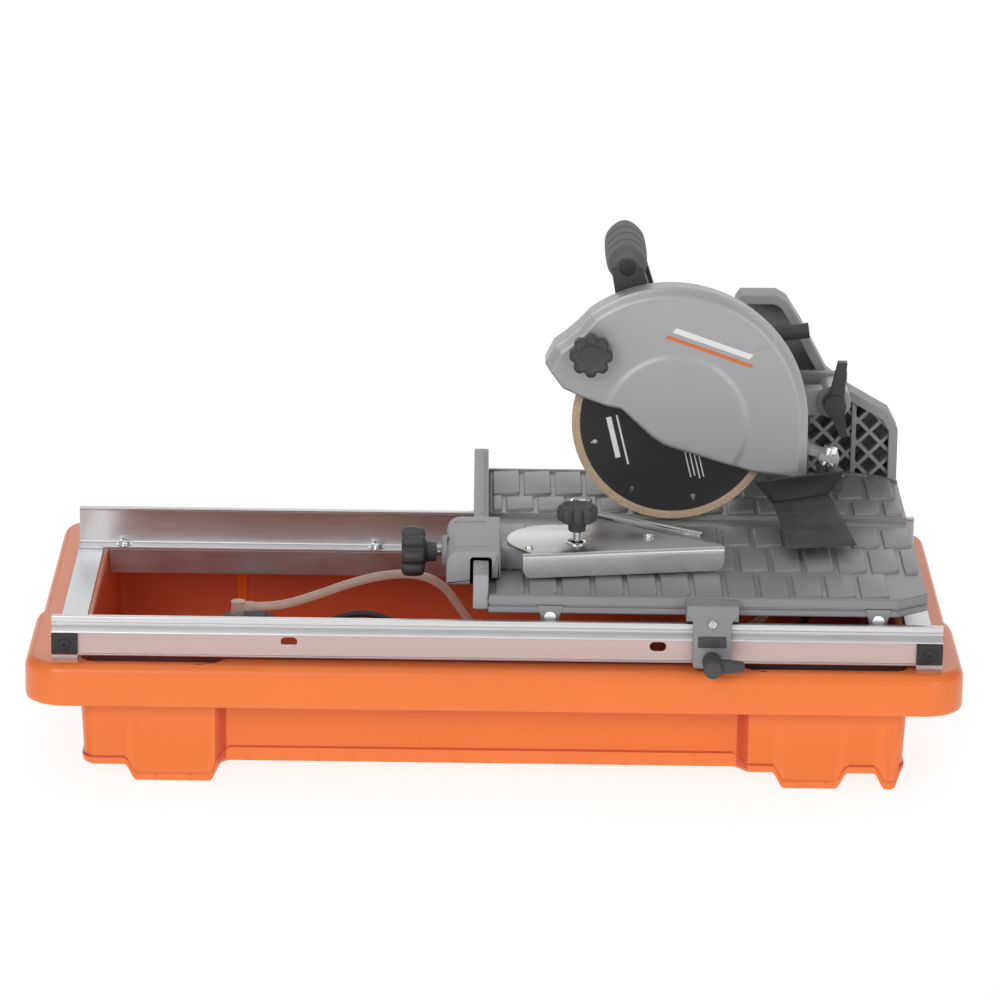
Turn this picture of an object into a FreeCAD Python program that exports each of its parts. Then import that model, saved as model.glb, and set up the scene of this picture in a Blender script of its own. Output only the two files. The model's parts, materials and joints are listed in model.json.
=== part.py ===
# Wet tile saw: a tray of water carries an aluminium frame, a table rolls along
# the frame, and a tilting, lifting head holds the blade.
# Frame: X right along the rails, Y away from the operator, Z up, in mm.
# The origin is on the floor, under the middle of the whole saw.
import FreeCAD, Part
import math
import os

os.makedirs("parts", exist_ok=True)

V = FreeCAD.Vector

# Driving dimensions of the tray
tray_half_x, tray_half_y = 396.0, 218.0
rim_top, rim_bottom, rim_wall = 107.0, 71.0, 3.5
body_half_x, body_half_y = 351.0, 204.0
waist_depth, waist_left, waist_right = 14.0, -226.0, 206.0
floor_z, wall = 14.0, 4.0

# Frame of rails on the tray's rim
rail_left, rail_right = -372.5, 376.5
frame_z = rim_top
bar_thick, bar_width = 4.0, 22.0
rail_z = frame_z + bar_thick
rail_top = 146.0
front_rail_y, rear_rail_y = -200.0, 120.0
track_z = 138.5
sheet = 2.5

# Sliding table
table_left, table_right = -6.0, 365.0
table_front, table_back = -191.0, 200.0
table_top, table_under, skirt_bottom = 165.0, 157.0, 150.0
corner_x, corner_y = 27.0, 21.0
fence_left, fence_right, fence_top = -19.0, -6.0, 182.0
front_roller_r, rear_roller_r = 9.0, 5.8
roller_xs = (46.0, 322.0)
front_roller_y, rear_roller_y = -191.0, 121.0
rolling_gap = 0.3

# Blade and gear train
blade_x, blade_y, blade_z = 155.0, 55.0, 251.0
blade_r, blade_thick = 88.9, 2.2
spindle_r, running_gap = 5.0, 0.05
gear_module, gear_teeth, pinion_teeth = 1.25, 36, 11
motor_angle = 138.7
motor_r, motor_front, motor_back = 44.0, 108.0, 228.0
object_half_y = 240.0

# Guard
guard_r, guard_cx, guard_cz = 119.0, 152.5, 254.0
guard_front, guard_split, guard_back = 38.0, 58.0, 73.0
guard_wall = 3.0

# Bevel: an arc slot about the cutting line
bevel_y, bevel_z, slot_r = blade_y, table_top, 145.0
pin_angles = (18.0, 32.0)
bevel_travel = 45.0
quad_x, quad_thick = 214.0, 7.0
yoke_x, yoke_thick = 222.0, 7.0

# Lift: the head turns on a bolt along Y
lift_x, lift_z = 303.0, 245.0
lift_r = 6.0

# Column behind the table
column_front, column_back = 206.0, 236.0
base_top, base_front = 138.0, 126.0

# Pump and its lines
pump_x, pump_y = -219.0, 50.0
hose_d, cable_d = 8.0, 6.0


def box(x0, x1, y0, y1, z0, z1):
    return Part.makeBox(x1 - x0, y1 - y0, z1 - z0, V(x0, y0, z0))


def rod(r, start, end):
    a, b = V(*start), V(*end)
    return Part.makeCylinder(r, (b - a).Length, a, b - a)


def tube(outer, inner, start, end):
    return rod(outer, start, end).cut(rod(inner, start, end))


def rod_y(r, x, z, y0, y1):
    return rod(r, (x, y0, z), (x, y1, z))


def prism_y(points, y0, y1):
    wire = Part.makePolygon([V(x, y0, z) for x, z in points + points[:1]])
    return Part.Face(wire).extrude(V(0, y1 - y0, 0))


def prism_x(points, x0, x1):
    wire = Part.makePolygon([V(x0, y, z) for y, z in points + points[:1]])
    return Part.Face(wire).extrude(V(x1 - x0, 0, 0))


def prism_z(points, z0, z1):
    wire = Part.makePolygon([V(x, y, z0) for x, y in points + points[:1]])
    return Part.Face(wire).extrude(V(0, 0, z1 - z0))


def join(shapes):
    first, rest = shapes[0], shapes[1:]
    return first.fuse(rest).removeSplitter() if rest else first


def save(name, *shapes):
    shape = shapes[0] if len(shapes) == 1 else Part.makeCompound(list(shapes))
    shape.exportStep("parts/%s.step" % name)


def round_upright(shape, radius):
    edges = [e for e in shape.Edges if abs(e.tangentAt(e.FirstParameter).z) > 0.999]
    return shape.makeFillet(radius, edges)


# ---------------------------------------------------------------- tray
def tray_plan(inset):
    """Body plan with a waist in its long sides."""
    hx, hy = body_half_x - inset, body_half_y - inset
    waist = hy - waist_depth
    left, right = waist_left - inset, waist_right + inset
    slope = 10.0
    front = [(-hx, -hy), (left - slope, -hy), (left, -waist), (right, -waist), (right + slope, -hy), (hx, -hy)]
    back = [(x, -y) for x, y in reversed(front)]
    return front + back


def foot(x0, x1, side):
    slope = 9.0
    outline = [(x0, floor_z), (x0 + slope, 0), (x1 - slope, 0), (x1, floor_z)]
    y_out = side * (body_half_y - 1.0)
    y_in = side * (body_half_y - 40.0)
    return prism_y(outline, min(y_out, y_in), max(y_out, y_in))


def make_tray():
    body = prism_z(tray_plan(0), floor_z, rim_top)
    rim = round_upright(box(-tray_half_x, tray_half_x, -tray_half_y, tray_half_y, rim_bottom, rim_top), 34)
    under = round_upright(
        box(-tray_half_x + rim_wall, tray_half_x - rim_wall, -tray_half_y + rim_wall, tray_half_y - rim_wall,
            rim_bottom, rim_top - rim_wall), 34 - rim_wall)
    feet = []
    for side in (-1, 1):
        for x0, x1 in ((-312, -230), (236, 300), (322, 349)):
            feet.append(foot(x0, x1, side))
    inside = prism_z(tray_plan(wall), floor_z + wall, rim_top + 1)
    shell = body.fuse([rim.cut(under)] + feet)
    plug_hole = rod(11, (body_half_x - wall - 2, -60, 32), (body_half_x + 2, -60, 32))
    return shell.cut([inside, plug_hole]).removeSplitter()


save("tray", make_tray())
plug = [rod(11, (body_half_x - wall, -60, 32), (body_half_x, -60, 32)),
        rod(15, (body_half_x, -60, 32), (body_half_x + 5, -60, 32))]
save("drain_plug", join(plug))


# ---------------------------------------------------------------- frame
def make_front_rail():
    y = front_rail_y
    section = [
        (y, rail_z), (y + 28, rail_z), (y + 28, rail_z + sheet), (y + sheet, rail_z + sheet),
        (y + sheet, track_z - sheet), (y + 19, track_z - sheet), (y + 19, track_z), (y + sheet, track_z),
        (y + sheet, rail_top), (y - 3, rail_top), (y - 3, rail_top - 3), (y, rail_top - 3.5),
        (y, rail_top - 8), (y - 3, rail_top - 13), (y, rail_top - 15)]
    rail = prism_x(section, rail_left, rail_right)
    for x in (-173.0, 137.0):
        slot = join([box(x - 3, x + 3, y - 5, y + 5, 121, 129), rod_y(4, x - 3, 125, y - 5, y + 5),
                     rod_y(4, x + 3, 125, y - 5, y + 5)])
        rail = rail.cut(slot)
    return rail


def make_rear_rail():
    y = rear_rail_y
    section = [
        (y - 12, rail_z), (y + sheet, rail_z), (y + sheet, rail_top - sheet), (y + 6, rail_top - sheet),
        (y + 6, rail_top), (y - 1, rail_top), (y - 1, rail_top - sheet), (y, rail_top - sheet),
        (y, rail_z + sheet), (y - 12, rail_z + sheet)]
    return prism_x(section, rail_left, rail_right)


def make_beam(y, direction):
    """Angle under a rail, its web down inside the tray."""
    near, far = y, y + direction * sheet
    reach = y + direction * 16.0
    web = box(-345, 345, min(near, far), max(near, far), 89, rail_z)
    top = box(-345, 345, min(y, reach), max(y, reach), rail_z - sheet, rail_z)
    return join([web, top])


bolt_xs = (-332.0, -106.0, 90.0, 300.0)
rear_bolt_y = rear_rail_y - 6.5


def dome_bolt(x, y, z, length, r=2.5, head=4.4):
    shank = rod(r, (x, y, z - length), (x, y, z))
    washer = rod(head + 1.0, (x, y, z), (x, y, z + 1.2))
    cap = rod(head, (x, y, z + 1.2), (x, y, z + 4.2))
    return join([shank, washer, cap])


def bolt_holes(y, zs, r=2.5):
    return [rod(r, (x, y, zs[0]), (x, y, zs[1])) for x in bolt_xs]


front_rail = make_front_rail()
rear_rail = make_rear_rail().cut(bolt_holes(rear_bolt_y, (90, rail_z + 10)))
rear_beam = make_beam(rear_rail_y - 12, 1).cut(bolt_holes(rear_bolt_y, (rail_z - 4, rail_z + 10)))
save("front_rail", front_rail)
save("rear_rail", rear_rail)
save("rail_beams", make_beam(front_rail_y + 28, -1), rear_beam)
bar_front, bar_back = front_rail_y - 1, rear_rail_y + 6
save("cross_bars", *[box(x0, x0 + bar_width, bar_front, bar_back, frame_z, rail_z)
                     for x0 in (rail_left, rail_right - bar_width)])

cap_z0, cap_z1 = rail_z + 1.5, rail_top - 15.5
caps, cap_screws = [], []
for x0 in (rail_left, rail_right - bar_width):
    cx, cz = x0 + bar_width / 2, (cap_z0 + cap_z1) / 2
    cap = box(x0, x0 + bar_width, front_rail_y - 3.5, front_rail_y, cap_z0, cap_z1)
    caps.append(cap.cut(rod_y(2.5, cx, cz, front_rail_y - 6, front_rail_y + 1)))
    screw_head = rod_y(4.5, cx, cz, front_rail_y - 5.5, front_rail_y - 3.5)
    cap_screws.append(join([screw_head, rod_y(2.5, cx, cz, front_rail_y - 3.5, front_rail_y)]))
save("rail_end_caps", *caps)
save("frame_fasteners", *cap_screws, *[dome_bolt(x, rear_bolt_y, rail_z + sheet, 12) for x in bolt_xs])

# ---------------------------------------------------------------- support
base_x0, base_x1 = 246.0, 352.0


def make_base():
    solid = box(base_x0, base_x1, base_front, column_back, frame_z, base_top)
    hollow = box(base_x0 + 6, base_x1 - 6, base_front + 6, column_back - 6, frame_z + 12, base_top - 6)
    ports = [rod(6, (268, 165, frame_z), (268, 165, frame_z + 12)),
             rod(6, (300, 165, frame_z), (300, 165, frame_z + 12)),
             rod(7, (base_x1 - 6, 180, 122), (base_x1, 180, 122))]
    seat = box(base_x0, base_x1, base_front, rear_rail_y + 6.2, frame_z, rail_z)
    return solid.cut([hollow, seat] + ports)


column_outline = [
    (215.8, base_top), (215.8, 321.0), (220.6, 328.0), (252.2, 328.3), (262.0, 323.0), (276.0, 301.0),
    (300.7, 256.0), (319.2, 241.1), (358.0, 219.0), (366.0, 204.0), (366.0, base_top)]
flange = 8.0


def inward(points, d):
    wire = Part.makePolygon([V(x, 0, z) for x, z in points + points[:1]])
    inner = Part.Face(wire).makeOffset2D(-d)
    return [(v.X, v.Z) for v in inner.OuterWire.OrderedVertexes]


def make_column():
    outer = prism_y(column_outline, column_front, column_back)
    pocket_outline = inward(column_outline, flange)
    pocket = prism_y(pocket_outline, column_front - 1, column_back - 4)
    grid = []
    pitch, rib = 21.0, 3.2
    middle_x, middle_z = 330.0, 190.0
    for step in range(-7, 8):
        for turn in (-45, 45):
            bar = box(-220, 220, column_front + 5, column_back - 3, -rib / 2, rib / 2)
            bar.translate(V(0, 0, step * pitch * math.cos(math.radians(45))))
            bar.rotate(V(0, 0, 0), V(0, 1, 0), turn)
            bar.translate(V(middle_x, 0, middle_z))
            grid.append(bar)
    post = box(324.0, 328.0, column_front + 3, column_back - 3, base_top, 240)
    zone = prism_y([(286, base_top), (286, 320), (380, 320), (380, base_top)], column_front, column_back)
    net = grid[0].fuse(grid[1:] + [post]).common(zone).common(pocket)
    return outer.cut(pocket).fuse(net).removeSplitter()


base = make_base()
column = make_column()
save("support_base", base)
save("support_column", column)


def polar(angle, radius=slot_r):
    a = math.radians(angle)
    return bevel_y + radius * math.cos(a), bevel_z + radius * math.sin(a)


def ring_sector(r0, r1, a0, a1, x0, x1):
    """Sector of a flat ring about the cutting line, between two angles."""
    full = tube(r1, r0, (x0, bevel_y, bevel_z), (x1, bevel_y, bevel_z))
    steps = [polar(a0 + (a1 - a0) * i / 6.0, 400) for i in range(7)]
    wedge = prism_x([(bevel_y, bevel_z)] + steps, x0, x1)
    return full.common(wedge)


def make_quadrant():
    x0, x1 = quad_x, quad_x + quad_thick
    plate = prism_x([(78, 250), (column_front, 190), (column_front, 316), (100, 316), (78, 308)], x0, x1)
    plate = plate.cut(rod(slot_r - 12, (x0, bevel_y, bevel_z), (x1, bevel_y, bevel_z)))
    half = 4.4
    lo, hi = pin_angles[0], pin_angles[1] + bevel_travel
    slot = [ring_sector(slot_r - half, slot_r + half, lo, hi, x0, x1)]
    for angle in (lo, hi):
        y, z = polar(angle)
        slot.append(rod(half, (x0, y, z), (x1, y, z)))
    lug = box(x0, 232, column_front - 10, column_front, 288, 316)
    return join([plate.cut(slot), lug])


save("bevel_quadrant", make_quadrant())

# ---------------------------------------------------------------- bevel yoke
arm_y0, arm_y1 = 187.0, 196.0


def make_yoke():
    x0, x1 = yoke_x, yoke_x + yoke_thick
    cheek = box(x0, x1, 164, 200, 198, 286)
    cross = box(x0, lift_x + 14, arm_y0, arm_y1, 226, 262)
    boss = rod_y(16, lift_x, lift_z, arm_y0, arm_y1)
    holes = [rod(4, (x0, *polar(a)), (x1, *polar(a))) for a in pin_angles]
    holes.append(rod_y(lift_r, lift_x, lift_z, arm_y0, arm_y1))
    return join([cheek, cross, boss]).cut(holes)


save("bevel_yoke", make_yoke())
pins = []
for index, angle in enumerate(pin_angles):
    y, z = polar(angle)
    far = yoke_x + yoke_thick
    shank = rod(4, (quad_x - 1, y, z), (far + (14 if index else 0), y, z))
    head = rod(7.5, (quad_x - 5, y, z), (quad_x - 1, y, z))
    parts = [shank, head]
    if not index:
        parts.append(rod(6.5, (far, y, z), (far + 4, y, z)))
    pins.append(join(parts))

lock_y, lock_z = polar(pin_angles[1])
hub_x0 = yoke_x + yoke_thick + 0.5
lock_hub = rod(7.5, (hub_x0, lock_y, lock_z), (hub_x0 + 16, lock_y, lock_z))
lock_arm = prism_x([(lock_y - 6, lock_z), (lock_y + 6, lock_z), (lock_y + 5, lock_z + 58), (lock_y - 5, lock_z + 58)],
                   hub_x0 + 9, hub_x0 + 17)
lock_grip = rod(7, (hub_x0 + 8, lock_y, lock_z + 56), (hub_x0 + 51, lock_y, lock_z + 62))
bevel_lever = join([lock_hub, lock_arm, lock_grip]).cut(
    rod(4.05, (hub_x0 - 1, lock_y, lock_z), (hub_x0 + 14, lock_y, lock_z)))
save("bevel_lock_lever", bevel_lever)

lift_bolt = join([rod_y(lift_r, lift_x, lift_z, 134, arm_y1), rod_y(10, lift_x, lift_z, arm_y1, arm_y1 + 5)])
save("yoke_bolts", lift_bolt, *pins)


def make_wing_knob():
    hub = rod_y(10, lift_x, lift_z, 132, 147.4)
    upper = prism_y([(lift_x - 6, lift_z + 4), (lift_x + 8, lift_z + 4), (lift_x + 10, lift_z + 40),
                     (lift_x + 2, lift_z + 40)], 135, 144)
    lower = prism_y([(lift_x - 8, lift_z), (lift_x + 8, lift_z), (lift_x + 12, lift_z - 28), (lift_x + 6, lift_z - 30)],
                    135, 144)
    return join([hub, upper, lower]).cut(rod_y(lift_r + running_gap, lift_x, lift_z, 133.9, 148))


save("lift_lock_knob", make_wing_knob())

# ---------------------------------------------------------------- gearbox and motor
mesh_angle = math.radians(motor_angle)
mesh_distance = gear_module * (gear_teeth + pinion_teeth) / 2.0 + 0.08
motor_x = blade_x + mesh_distance * math.cos(mesh_angle)
motor_z = blade_z + mesh_distance * math.sin(mesh_angle)


def axis_y(r, y0, y1, at_motor=False):
    x, z = (motor_x, motor_z) if at_motor else (blade_x, blade_z)
    return rod_y(r, x, z, y0, y1)


gap = running_gap
bearing_r = 13.0
spindle_bearings = ((74.0, 82.0), (98.0, 106.0))
motor_bearings = ((100.0, 107.0), (228.0, 235.0))


def make_gearbox():
    outer = join([axis_y(36, guard_back, motor_front), axis_y(motor_r, guard_back, motor_front, True)])
    arm = prism_y([(170, 204), (226, 204), (262, 222), (262, 240), (226, 240), (170, 262)], 84, 108)
    reach = box(252, 262, 100, 160, 224, 240)
    boss = rod_y(15, lift_x, lift_z, 148, 186.5)
    link = box(252, lift_x, 150, 168, 232, 256)
    cavity = join([axis_y(30, 84, 97), axis_y(32, 84, 97, True)])
    bores = [axis_y(spindle_r + 3, guard_back, motor_front), axis_y(bearing_r, guard_back, 82),
             axis_y(bearing_r, 97, 106), axis_y(bearing_r, 97, 107, True), axis_y(8, 107, motor_front, True),
             rod_y(lift_r + gap, lift_x, lift_z, 147, 187)]
    return join([outer, arm, reach, boss, link]).cut([cavity] + bores)


save("gearbox", make_gearbox())
rings = []
for at_motor, spans, inner in ((False, spindle_bearings, spindle_r), (True, motor_bearings, 4.0)):
    for y0, y1 in spans:
        rings.append(axis_y(bearing_r, y0, y1, at_motor).cut(axis_y(inner + gap, y0, y1, at_motor)))
save("bearings", *rings)


def involute_gear(teeth, y0, y1, x, z, phase, bore, slack=0.18):
    """Spur gear with involute flanks, cut thin by the slack at the pitch circle."""
    pitch_r = gear_module * teeth / 2.0
    base_r = pitch_r * math.cos(math.radians(20))
    tip_r, root_r = pitch_r + 0.9 * gear_module, pitch_r - 1.2 * gear_module
    inv20 = math.tan(math.radians(20)) - math.radians(20)

    def half_angle(r):
        a = math.acos(min(1.0, base_r / r))
        return math.pi / (2 * teeth) - slack / (2 * pitch_r) + inv20 - (math.tan(a) - a)

    start = max(base_r, root_r)
    flank = [start + (tip_r - start) * i / 3.0 for i in range(4)]
    points = []
    for tooth in range(teeth):
        centre = phase + 2 * math.pi * tooth / teeth
        left = [(root_r, centre - half_angle(start))] if root_r < start else []
        left += [(r, centre - half_angle(r)) for r in flank]
        right = [(r, 2 * centre - a) for r, a in reversed(left)]
        for r, a in left + right:
            points.append((x + r * math.cos(a), z + r * math.sin(a)))
    return prism_y(points, y0, y1).cut(rod_y(bore, x, z, y0, y1))


save("spindle_gear", involute_gear(gear_teeth, 85, 95, blade_x, blade_z, mesh_angle, spindle_r))
pinion = involute_gear(pinion_teeth, 85, 96, motor_x, motor_z, mesh_angle + math.pi + math.pi / pinion_teeth, 3.5)

blade = axis_y(blade_r, blade_y - blade_thick / 2, blade_y + blade_thick / 2).cut(axis_y(spindle_r, 50, 60))
save("blade", blade)
flanges = []
for y0, y1 in ((49.0, blade_y - blade_thick / 2), (blade_y + blade_thick / 2, 61.0)):
    flanges.append(axis_y(17, y0, y1).cut(axis_y(spindle_r, y0, y1)))
save("blade_flanges", *flanges)
nut_points = [(blade_x + 9.2 * math.cos(math.radians(60 * i)), blade_z + 9.2 * math.sin(math.radians(60 * i)))
              for i in range(6)]
save("arbor_nut", prism_y(nut_points, 42.5, 49.0).cut(axis_y(spindle_r, 42, 50)))
save("spindle", axis_y(spindle_r, 43.0, 105.5))


def make_motor_housing():
    shell = axis_y(motor_r, motor_front, motor_back, True).cut(axis_y(motor_r - 3, motor_front, motor_back, True))
    vents = []
    for i in range(12):
        angle = 30 * i
        vent = box(motor_x - 3, motor_x + 3, 116, 134, motor_z + motor_r - 6, motor_z + motor_r + 3)
        vent.rotate(V(motor_x, 0, motor_z), V(0, 1, 0), angle)
        vents.append(vent)
    holes = [rod(7, (motor_x + s * (motor_r - 6), 208, motor_z), (motor_x + s * (motor_r + 3), 208, motor_z))
             for s in (-1, 1)]
    return shell.cut(vents + holes)


save("motor_housing", make_motor_housing())
cap = axis_y(motor_r, motor_back, object_half_y, True).cut(axis_y(bearing_r, motor_back, 235, True))
save("motor_end_cap", cap)
save("brush_caps", *[rod(7, (motor_x + s * (motor_r - 6), 208, motor_z), (motor_x + s * (motor_r + 2.5), 208, motor_z))
                     for s in (-1, 1)])
save("stator", axis_y(motor_r - 3, 140, 190, True).cut(axis_y(27, 140, 190, True)))
shaft = axis_y(4, 97, 234.5, True)
nose = axis_y(3.5, 85, 97, True)
rotor = [shaft, nose, pinion, axis_y(26, 143, 187, True), axis_y(13, 196, 218, True)]
save("armature", join(rotor))
save("fan", axis_y(37, 118, 130, True).cut([axis_y(4, 118, 130, True), tube(34, 12, (motor_x, 121, motor_z),
                                                                             (motor_x, 130, motor_z))]))

# ---------------------------------------------------------------- handle
grip_x, grip_z, grip_r = 113.0, 382.0, 17.5
grip_y0, grip_y1 = 88.0, 206.0


def make_handle_frame():
    posts = []
    for y0, y1 in ((78, 104), (186, 206)):
        bottom = motor_z + motor_r - 12
        posts.append(prism_y([(grip_x - 14, grip_z), (grip_x + 14, grip_z), (motor_x + 20, bottom),
                              (motor_x - 20, bottom)], y0, y1))
    bar = rod_y(10, grip_x, grip_z, 78, grip_y1)
    body = join(posts)
    cuts = [axis_y(motor_r, 60, object_half_y, True), rod_y(grip_r, grip_x, grip_z, grip_y0, 186)]
    return body.cut(cuts).fuse(bar).removeSplitter()


save("handle_frame", make_handle_frame())
save("handle_grip", tube(grip_r, 10, (grip_x, grip_y0, grip_z), (grip_x, 186, grip_z)))
save("handle_cap", rod_y(7.5, grip_x, grip_z, 74.5, 78))

# Power switch on the left side of the motor
switch_y = 160.0
switch_x = motor_x - motor_r
save("switch_box", box(switch_x - 12, switch_x + 0.5, 138, 182, motor_z - 14, motor_z + 14).cut(
    [box(switch_x - 13, switch_x - 4, 144, 176, motor_z - 9, motor_z + 9), axis_y(motor_r, 100, 230, True)]))
rocker = prism_z([(switch_x - 15.5, 146), (switch_x - 11.5, switch_y), (switch_x - 11.5, 174), (switch_x - 7.5, 174),
                  (switch_x - 6.0, switch_y), (switch_x - 7.5, 146)], motor_z - 8, motor_z + 8)
save("switch_rocker", rocker)

# ---------------------------------------------------------------- guard
lower_edge = [(272.8, 198.6), (256.9, 206.7), (224.2, 210.8), (156.9, 230.9), (146.7, 234.4), (136.0, 241.6),
              (108.7, 266.7), (93.8, 269.2), (72.6, 277.1), (57.5, 284.2), (41.8, 304.9)]
nose_edge = [(49.6, 320.5), (59.4, 327.9), (70.2, 337.6)]


def guard_face(inset, y):
    """Guard outline: lower edge, nose, then the round top; the inset shrinks all but the lower edge."""
    r = guard_r - inset
    a0, a1 = math.radians(127.0), math.radians(0.0)
    start = (guard_cx + r * math.cos(a0), guard_cz + r * math.sin(a0))
    middle = (guard_cx + r * math.cos((a0 + a1) / 2), guard_cz + r * math.sin((a0 + a1) / 2))
    end = (guard_cx + r, guard_cz)
    nose = [(x + inset * 0.8, z - inset * 0.8) for x, z in nose_edge]
    left = [(lower_edge[-1][0] + inset, lower_edge[-1][1] - (3 if inset else 0))]
    right = [(lower_edge[0][0] - inset, lower_edge[0][1])]
    low = right + lower_edge[1:-1] + left
    if inset:
        low = [(x, z - 6) for x, z in low]
    path = [(r + guard_cx, guard_cz)] + low + nose + [start]
    edges = [Part.LineSegment(V(a[0], y, a[1]), V(b[0], y, b[1])).toShape() for a, b in zip(path, path[1:])]
    edges.append(Part.Arc(V(start[0], y, start[1]), V(middle[0], y, middle[1]), V(end[0], y, end[1])).toShape())
    return Part.Face(Part.Wire(edges))


def guard_shell(y0, y1, plate_y0, plate_y1):
    outer = guard_face(0, y0).extrude(V(0, y1 - y0, 0))
    inner = guard_face(guard_wall, y0).extrude(V(0, y1 - y0, 0))
    plate = guard_face(0, plate_y0).extrude(V(0, plate_y1 - plate_y0, 0))
    return outer.cut(inner).fuse(plate).removeSplitter()


knob_x, knob_z = 81.3, 317.9
front_guard = guard_shell(guard_front, guard_split, guard_front, guard_front + guard_wall)
front_guard = front_guard.cut(rod_y(4.05, knob_x, knob_z, guard_front, guard_split))
save("guard_front", front_guard)
hinge_angle = 14.0
hinge_point = V(289.0, 52.0, 207.0)


def on_hinge(shape):
    shape.rotate(V(0, 0, 0), V(0, 1, 0), hinge_angle)
    shape.translate(hinge_point)
    return shape


def make_guard_back():
    shell = guard_shell(guard_split, guard_back, guard_back - guard_wall, guard_back)
    holes = [rod_y(20, blade_x, blade_z, guard_split, guard_back)]
    post = rod_y(8, knob_x, knob_z, guard_split + 1, guard_back - guard_wall)
    ears = []
    for z0, x0 in ((12.0, -27.0), (-18.0, -24.0)):
        plate = box(x0, 2, 0, 16, z0, z0 + 6).fuse(box(-9, 9, -9, 16, z0, z0 + 6))
        ears.append(on_hinge(plate))
    web = box(266, 276, 60, guard_back, 199, 232)
    solid = shell.fuse([post, web] + ears)
    pin = on_hinge(rod(3, (0, 0, -30), (0, 0, 30)))
    inside = guard_face(guard_wall, guard_front).extrude(V(0, guard_back - guard_wall - guard_front, 0))
    ears_only = solid.cut([pin, rod_y(3, knob_x, knob_z, guard_split, guard_back - guard_wall)] + holes)
    front_room = guard_face(0, guard_front - 1).extrude(V(0, guard_split - guard_front + 1, 0))
    return ears_only.cut([front_room]).removeSplitter()


save("guard_back", make_guard_back())
knob_parts = [rod_y(12, knob_x, knob_z, 29, guard_front - 0.6)]
for i in range(8):
    a = math.radians(45 * i)
    knob_parts.append(rod_y(6.2, knob_x + 12.5 * math.cos(a), knob_z + 12.5 * math.sin(a), 18, 30))
knob_parts.append(rod_y(14, knob_x, knob_z, 16, 30))
knob_parts.append(rod_y(4, knob_x, knob_z, 30, guard_split))
knob_parts.append(rod_y(2.95, knob_x, knob_z, guard_split, 67))
save("guard_knob", join(knob_parts))

flap_bolt = join([on_hinge(rod(3, (0, 0, -22), (0, 0, 19))), on_hinge(rod(6, (0, 0, 18), (0, 0, 24))),
                  on_hinge(rod(5.5, (0, 0, -22), (0, 0, -18)))])
save("flap_pin", flap_bolt, *[on_hinge(tube(6, 3, (0, 0, z0), (0, 0, z0 + 4.5))) for z0 in (7.5, -12.0)])


flap_arm_y = hinge_point.y - 26.0


def make_flap_holder():
    barrel = rod(7, (0, 0, -7.2), (0, 0, 7.2))
    arm = box(2, 16, -26, 0, -7.0, 7.0)
    bore = rod(3.06, (0, 0, -20), (0, 0, 20))
    return on_hinge(barrel.fuse(arm).cut(bore).removeSplitter())


save("flap_holder", make_flap_holder())


def skinned(sections):
    """Closed solid through four-cornered sections, its twisted sides split into triangles."""
    faces = [Part.Face(Part.makePolygon(list(ring) + [ring[0]])) for ring in (sections[0], sections[-1])]
    for near, far in zip(sections, sections[1:]):
        for k in range(4):
            a, b, c, d = near[k], near[(k + 1) % 4], far[(k + 1) % 4], far[k]
            faces += [Part.Face(Part.makePolygon([a, b, c, a])), Part.Face(Part.makePolygon([a, c, d, a]))]
    solid = Part.makeSolid(Part.makeShell(faces))
    if solid.Volume < 0:
        solid.reverse()
    return solid


def make_splash_flap():
    """A bib down from the arm, then a wide tongue forward over the table."""
    back, front = flap_arm_y, flap_arm_y - 3.0
    sections = [
        [V(226, back, 206), V(306, back, 217), V(306, front, 217), V(226, front, 206)],
        [V(243, back, 184), V(292, back, 193), V(292, front, 196), V(243, front, 187)],
        [V(252, -76, 172), V(310, -62, 172), V(310, -62, 175), V(252, -76, 175)]]
    return skinned(sections)


save("splash_flap", make_splash_flap())

# ---------------------------------------------------------------- table
def table_outline(inset=0.0):
    l, r = table_left + inset, table_right - inset
    f, b = table_front + inset, table_back - inset
    cx, cy = corner_x, corner_y
    return [(l, f), (r - cx, f), (r, f + cy), (r, b - cy), (r - cx, b), (l, b)]


def make_table():
    slab = prism_z(table_outline(), table_under, table_top)
    skirt = prism_z(table_outline(), skirt_bottom, table_under).cut(
        prism_z(table_outline(4.0), skirt_bottom, table_under))
    slot = box(table_left, table_right, 28, 62, table_top - 6, table_top)
    ears = []
    for x in roller_xs:
        ears.append(rod_y(8, x, front_axle_z, table_front, table_front + 4).fuse(
            box(x - 8, x + 8, table_front, table_front + 4, front_axle_z, table_under)))
        ears.append(box(x - 8, x + 8, rear_roller_y + 5, rear_roller_y + 9, 149, table_under))
    pockets = [box(x - 9, x + 9, rear_roller_y - 4.5, rear_roller_y + 4.5, table_under, table_under + 2.6)
               for x in roller_xs]
    axles = [rod_y(2.5, x, front_axle_z, table_front - 5, table_front + 5) for x in roller_xs]
    axles += [rod_y(2.0, x, rear_axle_z, rear_roller_y, rear_roller_y + 12) for x in roller_xs]
    return slab.fuse([skirt] + ears).cut([slot] + pockets + axles).removeSplitter()


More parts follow.
